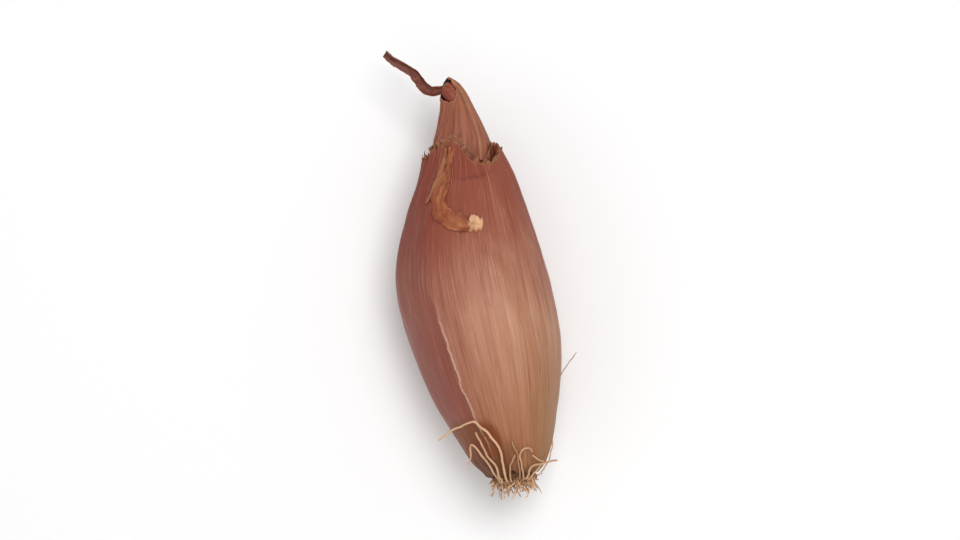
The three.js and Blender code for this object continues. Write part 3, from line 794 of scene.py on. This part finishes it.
def straw_root():
    """Dried root: straw with brown lengths and a browner foot."""
    material, tree, shader = finish_of("straw_root", Specular_IOR_Level=0.35)
    spot = tree.spot("ShaderNodeTexCoord", "Object")
    fibres = tree.grain(spot, 0.5, 3.0, 0.7)
    lengths = tree.grain(spot, 3.0, 2.0)
    tone, share = tree.marked("tone"), tree.marked("share")
    colour = tree.coats(
        paint("9a6b47"),
        (tone, "d8ad88"),
        (tree.smooth(0.5, 0.75, lengths) * 0.45, "96653f"),
        (tree.fade(0.0, 0.25, share) * 0.35, "7c5535"),
        (tree.smooth(0.5, 0.8, fibres) * 0.4, "eed0b0"),
    )
    tree.finish(shader, colour, 0.5 + fibres * 0.25, fibres * 0.00015)
    return material


def root_chains():
    """Every root's rings: the long ones, the tuft and the finest hairs between them."""
    chains = []
    for i, (angle, reach, stout, tone, rest) in enumerate(LONG_ROOTS):
        points = long_root(angle, reach, rest)
        chains.append(root_rings(points, ROOT_RADIUS * stout, tone, i * 7.1))
    random = seeded(9)
    for i in range(TUFT_ROOTS):
        points = short_root(random, i, TUFT_ROOTS, TUFT_CURL)
        thick = ROOT_RADIUS * (0.45 + 0.35 * (i % 3) / 2)
        chains.append(root_rings(points, thick, 0.3 + i % 5 / 6, 60 + i * 3.3))
    random = seeded(23)
    for i in range(HAIR_ROOTS):
        points = short_root(random, i, HAIR_ROOTS, HAIR_CURL)
        thick = HAIR_RADIUS * (1 + i % 3 / 4)
        chains.append(root_rings(points, thick, 0.4 + 0.6 * (i % 2), 200 + i * 3.3))
    return chains


root_sizes = {"Sides": 8, "Knobs": 0.16}
roots = grow("roots", rail("root_ways", *root_chains()), root_sizes, root_shape, straw_root())
fit(roots, "roots", "root_tuft")


# ---- The neck ----
# Dried leaf sheaths, one rolled round the other, that rise out of the torn collar. They shrank in fine
# lengthwise creases, and the tip is pinched, turned to the left and broken open into a dark mouth.

# Distance, half thickness, and how far the middle lies right and up.
NECK_RINGS = [
    (75.9, 6.9, 1.4, 1.3),
    (79.5, 7.15, 1.5, 1.45),
    (83, 7.2, 1.6, 1.6),
    (85.5, 6.85, 1.7, 1.65),
    (88, 6.05, 1.8, 1.7),
    (91, 5.05, 1.8, 1.7),
    (94, 4.05, 1.7, 1.55),
    (96.5, 3.4, 1.3, 1.35),
    (98.3, 2.95, 0.4, 1.1),
    (99.3, 2.4, -0.8, 0.85),
]
NECK_LENGTH = 25.6  # roughly: it turns a tear's depth into a share of the neck
NECK_COUNT = 150  # rings up the outside
MOUTH_FROM = 0.6  # share of the neck's length from which it is hollow
MOUTH_WALL = 0.25


def frames(points, count, low=0, high=1):
    """At even shares of a path, from low to high: the share, the point, and forward, across and up, which
    turn no more than the path does."""
    _, forward = glide(points, 0)
    across = forward.cross(Vector((0, 0, 1))).normalized()
    for i in range(count + 1):
        share = low + (high - low) * i / count
        point, ahead = glide(points, share)
        across.rotate(forward.rotation_difference(ahead))
        forward = ahead
        yield share, point, forward.copy(), across.copy(), across.cross(forward)


def path_of(rings):
    return [Vector((ring[SIDE], ring[0] - REST_FROM_ROOT, AXIS_HEIGHT + ring[LIFT])) for ring in rings]


def path_ring(share, middle, forward, across, upward, **more):
    """A ring on a path: its frame there, and whatever else the shape needs."""
    frame_there = {"middle": middle.copy(), "forward": forward, "across": across, "upward": upward}
    return {**frame_there, "share": share, **more}


def sheath_ring(share, point, forward, across, upward, stand, pull, inside):
    """A ring of a sheath that stands off the neck's own surface."""
    reach = through(NECK_RINGS, THICKNESS, point.y + REST_FROM_ROOT) + stand
    return path_ring(share, point, forward, across, upward, reach=reach, pull=pull, inside=inside)


def neck_rings(count, mouth_from):
    """Up the outside of the neck, over the lip of its mouth and down into the hollow."""
    rings = []
    for share, *here in frames(path_of(NECK_RINGS), count):
        pull = max(0, (share - mouth_from) / (1 - mouth_from))
        rings.append(sheath_ring(share, *here, 0, pull, 0.0))
    # The rings inside the mouth, which the sheath's finish paints dark as shade.
    hollow = [dict(ring, inside=1.0) for ring in rings if ring["share"] > mouth_from]
    return rings + hollow[::-1]


def off_path(tree, across, upward, onward=0.0):
    """A point off the rail's path: so far across it, up from it and on along it."""
    spot = tree.total(
        tree.read("middle", "FLOAT_VECTOR"),
        tree.scaled(tree.read("across", "FLOAT_VECTOR"), across),
        tree.scaled(tree.read("upward", "FLOAT_VECTOR"), upward),
        tree.scaled(tree.read("forward", "FLOAT_VECTOR"), onward),
    )
    return tree.scaled(spot, MM)


def neck_pleats(tree, angle, share, depth):
    """The pleats that the skins round the neck have in common."""
    deep = tree.smooth(-0.1, 0.35, share) * (1 - share * 0.45) * depth
    return deep * tree.sin(angle * 11 + tree.sin(angle * 2) * 1.3 + share * 2)


def neck_shape(tree, start, size):
    tube, angle, cos, sin = sleeve(tree, start, size["Around"])
    pull, inside = tree.read("pull"), tree.read("inside")

    # The mouth is torn open on its top left, back down the neck, and its lip is ragged. Where it is torn
    # back, the sheath takes its place and its size from further down the neck.
    open_side = tree.facing(angle, 104, 66) * size["Mouth"]
    lobe = tree.facing(angle, -75, 80) * size["Lobe"]
    ragged = tree.uneven(tree.vector(cos * 3, sin * 3, 0.0), 0.9, 3.0, 0.65) * size["Ragged lip"]
    share = tree.read("share") - pull * (open_side + ragged) / NECK_LENGTH
    rings = tree.node("GeometryNodeMeshToCurve", {"Mesh": start})
    spot = share * (NECK_COUNT / (NECK_COUNT + NECK_COUNT * (1 - MOUTH_FROM)))
    spun = angle + share * 0.5
    wound = tree.cos(spun) * 7, tree.sin(spun) * 7
    place = tree.vector(*wound, share * 24)

    # Pleats, the lap where the outer sheath ends, fine creases and a few folds across the bend.
    pleats = neck_pleats(tree, angle, share, size["Pleats"])
    past = tree.beside(angle, 52 * DEGREE - share * 0.35)
    lap = tree.smooth(-0.03, 0.03, past) * tree.fade(0.5, 2.2, past) * size["Lap"]
    creases = tree.uneven(tree.vector(*wound, share * 2.0), 0.9, 3.0)
    folds = tree.uneven(place, 1.6, 2.0) * tree.smooth(0.45, 1.0, share) * size["Folds"]
    relief = 1 - inside * 0.3
    wall = inside * (MOUTH_WALL + (1 - pull) * 0.9)
    reach = tree.sampled(rings, "reach", spot, "FLOAT")
    radius = reach + (pleats - lap + creases * size["Creases"] + folds) * relief - wall
    tube = tree.store(tube, "sheath_place", place, "FLOAT_VECTOR")
    tube = tree.marks(
        tube,
        lap=tree.hump(past, 0.0, 0.06) * (1 - inside),
        beyond=tree.fade(-0.02, 0.02, past) * tree.smooth(-1.6, -1.0, past),
        lip=tree.smooth(0.86, 1.0, pull),
    )
    at = tree.total(
        tree.sampled(rings, "middle", spot),
        tree.scaled(tree.sampled(rings, "across", spot), cos * radius),
        tree.scaled(tree.sampled(rings, "upward", spot), sin * radius),
        tree.vector(0.0, pull * pull * lobe, 0.0),
    )
    return tree.place(tube, tree.scaled(at, MM))


def dried_sheath(name, dark, light):
    """Dried sheath in two tones, with fine creases and tan at its edges, and darkened inside with painted
    shade.
    """
    material, tree, shader = finish_of(name, Specular_IOR_Level=0.35)
    place = tree.marked("sheath_place", 1)
    x, y, up = tree.parts(place)
    lengthwise = tree.vector(x, y, up * 0.08)
    streaks = tree.grain(lengthwise, 1.4, 3.0, 0.6)
    hairs = tree.grain(lengthwise, 0.4, 2.0, 0.6)
    veins = tree.lines(lengthwise, 1.5, 0.04)
    clouds = tree.grain(place, 4.0, 3.0, 0.6)
    colour = tree.coats(
        paint(dark),
        (tree.smooth(0.3, 0.7, streaks), light),
        (tree.smooth(0.45, 0.7, clouds) * 0.5, "935f3c"),
        (tree.marked("beyond") * 0.22, "a26b46"),
        (tree.smooth(0.55, 0.78, hairs) * 0.5, "582a1e"),
        (tree.fade(0.25, 0.42, hairs) * 0.35, "b87f60"),
        (veins * 0.35, "5f2c20"),
        (tree.marked("lap") * 0.28, "c08d66"),
        (tree.marked("lip") * 0.55, "b37f55"),
        # painted shade inside the torn mouth, nearly black
        (tree.marked("inside") * 0.9, "2a0f0a"),
    )
    rough = 0.52 + (clouds - 0.5) * 0.2 + (hairs - 0.5) * 0.2
    height = (hairs * 0.6 + streaks * 0.6) * 0.00015
    tree.finish(shader, colour, rough, height)
    return material


neck_sizes = {
    "Around": 176,
    "Mouth": 7.3,
    "Lobe": 1.7,
    "Ragged lip": 1.4,
    "Pleats": 0.34,
    "Lap": 0.28,
    "Creases": 0.4,
    "Folds": 0.55,
}
brown_sheath = dried_sheath("brown_sheath", "793b2a", "a05d43")
neck_rail = rail("neck_rail", neck_rings(NECK_COUNT, MOUTH_FROM))
neck = grow("neck_sheath", neck_rail, neck_sizes, neck_shape, brown_sheath)
fit(neck, "neck_sheaths", "neck")


# ---- The inner roll ----
# The next sheath inside the neck: a thin reddish roll, wrinkled and laid open by the torn mouth. The
# leaf grew out of it, so its end closes round the leaf's foot.

ROLL_FROM, ROLL_TO = 0.62, 1.0
ROLL_RADIUS = 2.75
ROLL_SHIFT = 0.35  # up and to the right of the neck's middle


def roll_rings(count):
    """Beside the neck's middle, and narrowing to the leaf's foot."""
    rings = []
    for share, point, forward, across, up in frames(path_of(NECK_RINGS), count, ROLL_FROM, ROLL_TO):
        t = (share - ROLL_FROM) / (ROLL_TO - ROLL_FROM)
        middle = point + up * ROLL_SHIFT + across * ROLL_SHIFT
        reach = ROLL_RADIUS * (1 - 0.22 * t - 0.38 * t**8)
        rings.append(path_ring(share, middle, forward, across, up, reach=reach))
    return rings


def roll_shape(tree, start, size):
    tube, angle, cos, sin = sleeve(tree, start, size["Around"])
    share = tree.read("share")
    place = tree.vector(cos * 2, sin * 2, share * 24)
    wrinkles = tree.uneven(tree.vector(cos * 2, sin * 2, share * 5), 0.7, 3.0)
    dents = tree.uneven(place, 1.4, 2.0)
    past = tree.beside(angle, 70 * DEGREE - share * 1.5)
    lap = tree.smooth(-0.08, 0.08, past) * tree.fade(0.8, 2.4, past) * size["Lap"]
    radius = tree.read("reach") + wrinkles * size["Wrinkles"] + dents * size["Dents"] - lap
    tube = tree.store(tube, "sheath_place", place, "FLOAT_VECTOR")
    # A little painted shade on the roll, as it lies inside the neck's mouth.
    tube = tree.marks(tube, lap=tree.hump(past, 0.0, 0.1), beyond=0.0, lip=0.0, inside=0.12)
    return tree.place(tube, off_path(tree, cos * radius, sin * radius))


roll_sizes = {"Around": 64, "Wrinkles": 0.5, "Dents": 0.5, "Lap": 0.3}
red_sheath = dried_sheath("red_sheath", "6c2a1f", "94432f")
roll = grow("inner_roll", rail("roll_rail", roll_rings(60)), roll_sizes, roll_shape, red_sheath)
fit(roll, "neck_sheaths", "neck")


# ---- The torn collar ----
# Between the neck and the bulb's skin stands the torn edge of a second, thinner skin. Shreds of both
# are left all round the rim, curled and pointing every way.

COLLAR_FROM, COLLAR_TO = 0.04, 0.285


def inner_collar_rings(count):
    """Up the outside of a thin torn ring round the neck, and down its inside."""
    outer, inner = [], []
    for share, *here in frames(path_of(NECK_RINGS), count, COLLAR_FROM, COLLAR_TO):
        t = (share - COLLAR_FROM) / (COLLAR_TO - COLLAR_FROM)
        flare = 0.3 * max(0, t - 0.45)
        outer.append(sheath_ring(share, *here, 0.5 + flare, t, 0.0))
        inner.append(sheath_ring(share, *here, 0.36 + flare, t, 1.0))
    return outer + inner[::-1]


def inner_collar_shape(tree, start, size):
    tube, angle, cos, sin = sleeve(tree, start, size["Around"], False)
    share, pull = tree.read("share"), tree.read("pull")
    wound = cos * 7, sin * 7
    edge = pull * pull * pull
    tongues = tree.uneven(tree.vector(*wound, 5.0), 3.4, 2.0)
    teeth = tree.uneven(tree.vector(*wound, 9.0), 0.9, 3.0, 0.7)
    torn = torn_down(tree, angle) * pull * 0.95 + (tongues * size["Tongues"] + teeth * size["Teeth"]) * edge
    pleats = neck_pleats(tree, angle, share, neck_sizes["Pleats"])
    curl = tree.smooth(0.3, 1.0, edge) * (tree.grain(tree.vector(*wound, 2.0), 2.4) - 0.2)
    crumple = tree.uneven(tree.vector(*wound, share * 20), 1.5, 3.0, 0.6) * edge
    radius = tree.read("reach") + pleats * (1 - edge * 0.6) + curl * size["Curl"] + crumple * size["Crumple"]
    tube = tree.store(tube, "pale", tree.smooth(0.7, 1.0, edge) * 0.8)
    return tree.place(tube, off_path(tree, cos * radius, sin * radius, torn))


def torn_paper():
    """Torn papery skin: red-brown and tan fibres, paler at the very edge."""
    material, tree, shader = finish_of("torn_paper", Specular_IOR_Level=0.35)
    spot = tree.spot("ShaderNodeTexCoord", "Object")
    x, y, z = tree.parts(spot)
    fibres = tree.grain(tree.vector(x, y * 0.25, z), 0.35, 3.0, 0.6)
    clouds = tree.grain(spot, 2.0, 3.0, 0.6)
    colour = tree.coats(
        paint("6f3a28"),
        (tree.smooth(0.3, 0.7, clouds), "93593c"),
        (tree.smooth(0.5, 0.75, fibres) * 0.5, "5c2f20"),
        (tree.marked("pale") * tree.smooth(0.3, 0.6, fibres), "a37450"),
    )
    height = (fibres * 0.7 + clouds * 0.2) * 0.0002
    tree.finish(shader, colour, 0.55 + fibres * 0.2, height)
    return material


paper_finish = torn_paper()
collar_sizes = {"Around": 260, "Tongues": 3.4, "Teeth": 2.8, "Curl": 0.6, "Crumple": 1.5}
collar_rail = rail("inner_collar_rail", inner_collar_rings(30), closed=True)
inner_collar = grow("inner_collar", collar_rail, collar_sizes, inner_collar_shape, paper_finish)
fit(inner_collar, "neck_sheaths", "neck", "bulb")


def shred_spots(count):
    """Where each shred is fixed round the rim, the way it points, the way it faces and its size."""
    random = seeded(31)
    around = bulb_sizes["Around"]
    rim = bulb.data.vertices[RIM_RING * around : (RIM_RING + 1) * around]
    spots = []
    for i in range(count):
        turn = TURN * (i + 0.8 * next(random)) / count
        out = Vector((math.cos(turn), 0, math.sin(turn)))
        beside = Vector((-math.sin(turn), 0, math.cos(turn)))
        lean, slant = next(random) * 0.5 - 0.25, (next(random) - 0.5) * 4.5
        ahead = (Vector((0, 1, 0)) + out * lean + beside * slant).normalized()
        long, wide = 1.0 + 1.5 * next(random) ** 2, 0.5 + 0.9 * next(random)
        below, inward = 0.1 + 0.4 * next(random), 0.2 - 0.4 * next(random)
        at = rim[int(turn / TURN * around) % around].co / MM - Vector((0, below, 0)) - out * inward
        spots.append({
            "at": at,
            "ahead": ahead,
            "facing": out + ahead * (next(random) - 0.5),
            "stretch": Vector((wide, long, 0.8 + 0.4 * next(random))),
            "pale": 0.6 * next(random),
        })
    return spots


def shred_shape(tree, start, size):
    line = tree.node("GeometryNodeCurvePrimitiveLine", {"Start": (0, 0, 0), "End": (0, MM, 0)})
    line = tree.node("GeometryNodeResampleCurve", {"Curve": line, "Count": 12})
    share = tree.node("GeometryNodeSplineParameter")
    width = 0.75 + share * (1 - share) * 1.3 - share * share * 0.4
    blade = swept(tree, line, 14, 0.5 * MM, width)
    x, y, z = tree.parts(tree.node("GeometryNodeInputPosition"))
    bend = ((y / MM) * (y / MM) * size["Curl"] + (x / MM) * (x / MM) * size["Cup"]) * MM
    blade = tree.place(blade, tree.vector(x, y, z * size["Thinness"] + bend))
    ahead, facing = tree.read("ahead", "FLOAT_VECTOR"), tree.read("facing", "FLOAT_VECTOR")
    turned = {"Primary Axis": ahead, "Secondary Axis": facing}
    turned = tree.node("FunctionNodeAxesToRotation", turned, primary_axis="Y", secondary_axis="Z")
    shreds = copied(tree, start, blade, turned, tree.read("stretch", "FLOAT_VECTOR"))
    noisy = {"Vector": tree.spot(), "Scale": 0.9, "Detail": 3.0}
    crumple = tree.node("ShaderNodeTexNoise", noisy, output="Color")
    offset = tree.scaled(tree.total(crumple, (-0.5, -0.5, -0.5)), size["Crumple"] * MM)
    return tree.node("GeometryNodeSetPosition", {"Geometry": shreds, "Offset": offset})


shred_sizes = {"Thinness": 0.13, "Curl": 0.08, "Cup": 0.3, "Crumple": 0.9}
shreds = grow("collar_shreds", rail("shred_spots", shred_spots(58)), shred_sizes, shred_shape, paper_finish)
fit(shreds, "bulb_skin", "bulb")


# ---- The peeled strip ----
# A band of the outer skin that tore loose below the collar. It lies curved over the shoulder, browner
# than the rest, with a wisp beside it and a pale ragged flake tucked under its tip.

SCRAP_THICKNESS = 0.12

# Each scrap's middle line, from the collar down: distance along the bulb, angle round it, and width.
STRIP_LINE = [
    (84, 106, 1.3),
    (82.2, 107, 1.6),
    (79.3, 110, 1.7),
    (76.4, 112.5, 2.3),
    (73, 116.5, 3),
    (70, 116.5, 3.4),
    (67.8, 110.5, 3.7),
    (66, 102.5, 4),
    (64.9, 95, 4.1),
    (64.4, 90, 3.6),
    (64.2, 85, 2.8),
]
FLAKE_LINE = [(64.3, 88.5, 2.2), (64.1, 86, 2.8), (63.8, 82, 3.2), (63.5, 78, 2.7), (63.3, 75.3, 1.1)]
WISP_LINE = [(84, 118, 0.7), (80, 120, 1.2), (76, 123.5, 1.3), (72.5, 128, 1.0), (70.5, 132, 0.5)]


def scrap_grid(line, long, wide, seed, fray, stand):
    """Points of a scrap of skin, row by row down its line. Its sides and its end are torn, and it
    cockles and lifts a little at the end."""
    line = [Vector(row) for row in line]
    rows = []
    for i in range(long + 1):
        row = []
        for k in range(wide + 1):
            share = k / wide - 0.5
            t = i / long
            end = 0.6 * noise.noise(Vector((share * 7, 3.3, seed)))
            end += 0.4 * noise.noise(Vector((share * 14, 7.7, seed)))
            here, ahead = glide(line, min(1, max(0, t * (1 - (0.5 - end) * 0.12 * t**6))))
            reach = thickness(here.x)
            run = Vector((ahead.x, ahead.y * DEGREE * reach)).normalized()
            side = 5.0 if share > 0 else 0.5
            ragged = 1 + fray * noise.noise(Vector((t * len(line), side, seed)))
            ragged += 0.6 * fray * noise.noise(Vector((t * len(line) * 2.4, side, seed + 3)))
            off = share * here.z * ragged * 1.1
            furrow = 0.05 * math.sin(off * 4.5 + 2 * noise.noise(Vector((t * 5, 0, seed))))
            cockle = 0.24 * noise.noise(Vector((t * len(line) * 0.9, off * 0.5, seed + 6)))
            height = stand + furrow + cockle + 0.1 * abs(2 * share) ** 3 + 0.22 * t**12
            angle = here.y * DEGREE - off * run.x / reach
            row.append(over_skin(here.x + off * run.y, angle, max(height, 0.16)))
        rows.append(row)
    return rows


def scrap(name, line, cells, seed, fray, stand, material):
    """A thin closed sheet of skin. Each point knows its share of the way across it, how far down it lies
    in mm, and the sheet's seed."""
    rows = scrap_grid(line, *cells, seed, fray, stand)
    long, wide = len(rows), len(rows[0])
    over, under, places = [], [], []
    for i in range(long):
        for k in range(wide):
            down = rows[min(i + 1, long - 1)][k] - rows[max(i - 1, 0)][k]
            beside = rows[i][min(k + 1, wide - 1)] - rows[i][max(k - 1, 0)]
            normal = beside.cross(down).normalized() * SCRAP_THICKNESS / 2
            over.append((rows[i][k] + normal) * MM)
            under.append((rows[i][k] - normal) * MM)
            places += [k / (wide - 1), (rows[0][0] - rows[i][0]).length, seed]
    first = long * wide
    last = first - wide
    faces = []
    for i in range(long - 1):
        for k in range(wide - 1):
            a, b, c, d = i * wide + k, i * wide + k + 1, (i + 1) * wide + k + 1, (i + 1) * wide + k
            faces += [(a, b, c, d), (first + d, first + c, first + b, first + a)]
    border = [*range(wide), *range(2 * wide - 1, first, wide)]
    border += [*range(first - 2, last - 1, -1), *range(last - wide, 0, -wide)]
    for a, b in zip(border, border[1:] + border[:1]):
        faces.append((b, a, first + a, first + b))
    mesh = bpy.data.meshes.new(name)
    mesh.from_pydata(over + under, [], faces)
    mesh.attributes.new("scrap_place", "FLOAT_VECTOR", "POINT").data.foreach_set("vector", places * 2)
    mesh.materials.append(material)
    mesh.shade_smooth()
    return put(name, mesh)


def scrap_skin(name, dark, light, fibre):
    """Peeled skin: two tones in blotches, streaked along its length by finer and paler fibres."""
    material, tree, shader = finish_of(name, Specular_IOR_Level=0.4)
    across, down, seed = tree.parts(tree.marked("scrap_place", 1))
    lengthwise = tree.vector(across * 4, down * 0.1, seed)
    fibres = tree.grain(lengthwise, 0.28, 3.0, 0.65)
    clouds = tree.grain(tree.vector(across * 4, down, seed), 2.6, 4.0, 0.65)
    colour = tree.coats(
        paint(dark),
        (tree.smooth(0.36, 0.64, clouds), light),
        (tree.smooth(0.5, 0.74, fibres) * 0.5, dark),
        (tree.fade(0.28, 0.46, fibres) * 0.45, fibre),
    )
    height = (fibres * 0.7 + clouds * 0.3) * 0.00016
    tree.finish(shader, colour, 0.5 + fibres * 0.2, height)
    return material


ochre_scrap = scrap_skin("ochre_scrap", "7c381c", "9f5933", "ba7f52")
tan_scrap = scrap_skin("tan_scrap", "854b2d", "a06740", "ba8660")
pale_scrap = scrap_skin("pale_scrap", "ad7650", "d2a27a", "e6c09a")
strip = scrap("peeled_strip", STRIP_LINE, (120, 22), 1.0, 0.34, 0.3, ochre_scrap)
fit(strip, "peeled_skin", "peeled_skin")
flake = scrap("pale_flake", FLAKE_LINE, (34, 22), 2.0, 0.75, 0.16, pale_scrap)
fit(flake, "peeled_skin", "peeled_skin")
wisp = scrap("tan_wisp", WISP_LINE, (70, 10), 3.0, 0.6, 0.24, tan_scrap)
fit(wisp, "peeled_skin", "peeled_skin")


# ---- The shrivelled leaf ----
# What is left of the shallot's top: one leaf, dried to a narrow dark ribbon. It comes out of the neck's
# mouth, hooks round it and bends away to the left.

# Distance, half width, and how far the middle lies right and up.
LEAF_RINGS = [
    (98.4, 0.8, 0.4, 1),
    (98.95, 1.0, -0.8, 0.9),
    (98.85, 1.2, -2.1, 0.65),
    (99, 1.35, -3.7, 0.3),
    (100.4, 1.4, -5.2, -0.1),
    (102.4, 1.4, -6.2, -0.6),
    (104.3, 1.35, -7.2, -1),
    (105.9, 1.3, -8.6, -1.25),
    (107.3, 1.3, -10.3, -1.3),
    (108.6, 1.25, -11.9, -1.1),
    (109.8, 1.2, -13.1, -0.8),
    (111, 1.05, -14, -0.4),
]
LEAF_TURNS = 0.12  # that it twists over its length


def leaf_rings(count):
    widths = [Vector((ring[THICKNESS], 0, 0)) for ring in LEAF_RINGS]
    rings = []
    for share, point, forward, across, up in frames(path_of(LEAF_RINGS), count):
        eased = max(0, (share - 0.1) / 0.9)
        twist = LEAF_TURNS * TURN * eased**2 * (3 - 2 * eased)
        flat = across * math.cos(twist) + up * math.sin(twist)
        stood = up * math.cos(twist) - across * math.sin(twist)
        rings.append(path_ring(share, point, forward, flat, stood, wide=glide(widths, share)[0].x))
    return rings


def leaf_shape(tree, start, size):
    tube, angle, cos, sin = sleeve(tree, start, size["Around"])
    share, wide = tree.read("share"), tree.read("wide")
    lengthwise = tree.vector(cos * 2, sin * 0.3, share * 3)
    furrows = tree.uneven(lengthwise, 0.5, 2.0) * size["Furrows"]
    crumple = tree.uneven(tree.vector(cos * 2, 0.0, share * 26), 1.8, 2.0) * size["Crumple"]
    ragged = 1 + tree.uneven(tree.vector(cos, 4.0, share * 26), 1.5, 3.0) * 0.5
    x = cos * wide * ragged
    fold = cos * cos * size["Fold"] * wide
    y = sin * size["Thickness"] * 0.5 * (1 + furrows * 0.5) + fold + furrows * 0.4 + crumple
    tongues = tree.grain(tree.vector(cos * 2, 0.0, 12.0), 0.9, 3.0, 0.7) + cos * 0.16 - 0.7
    torn = tongues * tree.smooth(0.82, 1.0, share) * size["Ragged tip"]
    tube = tree.store(tube, "leaf_place", tree.vector(cos, sin, share * 26), "FLOAT_VECTOR")
    return tree.place(tube, off_path(tree, x, y, torn))


def shrivelled_leaf():
    """Dried leaf: dark red-brown with tan edges and fine lengthwise furrows."""
    material, tree, shader = finish_of("shrivelled_leaf", Specular_IOR_Level=0.45)
    cos, sin, along = tree.parts(tree.marked("leaf_place", 1))
    streaks = tree.grain(tree.vector(cos * 1.5, sin * 0.4, along * 0.12), 0.35, 3.0, 0.6)
    clouds = tree.grain(tree.vector(cos * 1.5, sin, along), 2.2, 3.0, 0.6)
    colour = tree.coats(
        paint("501f15"),
        (tree.smooth(0.3, 0.7, streaks), "7a3b28"),
        (tree.smooth(0.52, 0.75, clouds) * 0.5, "97633c"),
        (tree.smooth(0.8, 1.0, tree.math("ABSOLUTE", cos)) * 0.55, "a9744b"),
        (tree.smooth(0.55, 0.8, streaks) * 0.5, "3a140d"),
    )
    tree.finish(shader, colour, 0.45 + clouds * 0.2, streaks * 0.0002)
    return material


leaf_sizes = {"Around": 36, "Thickness": 0.42, "Fold": 0.8, "Furrows": 0.7, "Crumple": 0.8, "Ragged tip": 2.6}
leaf = grow("dry_leaf_ribbon", rail("leaf_rail", leaf_rings(110)), leaf_sizes, leaf_shape, shrivelled_leaf())
fit(leaf, "dry_leaf", "dry_leaf")


# ---- The table, the light and the camera ----
# A plain white sheet of paper under three soft lamps: the brightest above on the right, weaker ones on
# the left and past the root end. The camera is straight above, turned so that the neck leans to the left.

SHEET = 3  # half its side, in metres as everything in this section
AIM_HEIGHT = 0.02  # of what the lights face and the camera frames
LEAN = 8.5  # degrees
SHARE_OF_PICTURE = 0.86  # that the shallot's length takes up
PICTURE_SHAPE = 540 / 960

paper_mesh = bpy.data.meshes.new("table")
corners = [(-SHEET, -SHEET, 0), (SHEET, -SHEET, 0), (SHEET, SHEET, 0), (-SHEET, SHEET, 0)]
paper_mesh.from_pydata(corners, [], [(0, 1, 2, 3)])
table = put("table", paper_mesh)
white_paper, _, _ = finish_of("white_paper", Base_Color=(0.89, 0.89, 0.89, 1), Roughness=0.9)
paper_mesh.materials.append(white_paper)


def softbox(name, place, size, power):
    light = bpy.data.lights.new(name, "AREA")
    light.shape = "SQUARE"
    light.size = size
    light.energy = power
    lamp = put(name, light)
    lamp.location = place
    lamp.rotation_euler = (Vector(place) - Vector((0, 0, AIM_HEIGHT))).to_track_quat("Z", "Y").to_euler()


softbox("key_light", (0.18, 0.24, 0.85), 0.45, 4.9)
softbox("fill_light", (-0.7, -0.35, 0.6), 0.8, 1.3)
softbox("top_light", (0.05, -0.5, 0.9), 0.7, 1.5)
studio = bpy.data.worlds.new("studio")
studio.use_nodes = True
backdrop = studio.node_tree.nodes["Background"].inputs
backdrop["Color"].default_value = (1, 1, 1, 1)
backdrop["Strength"].default_value = 0.45
bpy.context.scene.world = studio
bpy.context.scene.view_settings.view_transform = "Standard"

camera_data = bpy.data.cameras.new("camera")
camera_data.lens = 100
camera_data.sensor_width = 36
camera = put("camera", camera_data)
low, high = cad_box
middle = (low + high) / 2
seen_height = (high.y - low.y) / SHARE_OF_PICTURE
distance = seen_height / (camera_data.sensor_width * PICTURE_SHAPE) * camera_data.lens
camera.location = (middle.x, middle.y, distance + AIM_HEIGHT)
camera.rotation_euler = (0, 0, -math.radians(LEAN))
bpy.context.scene.camera = camera
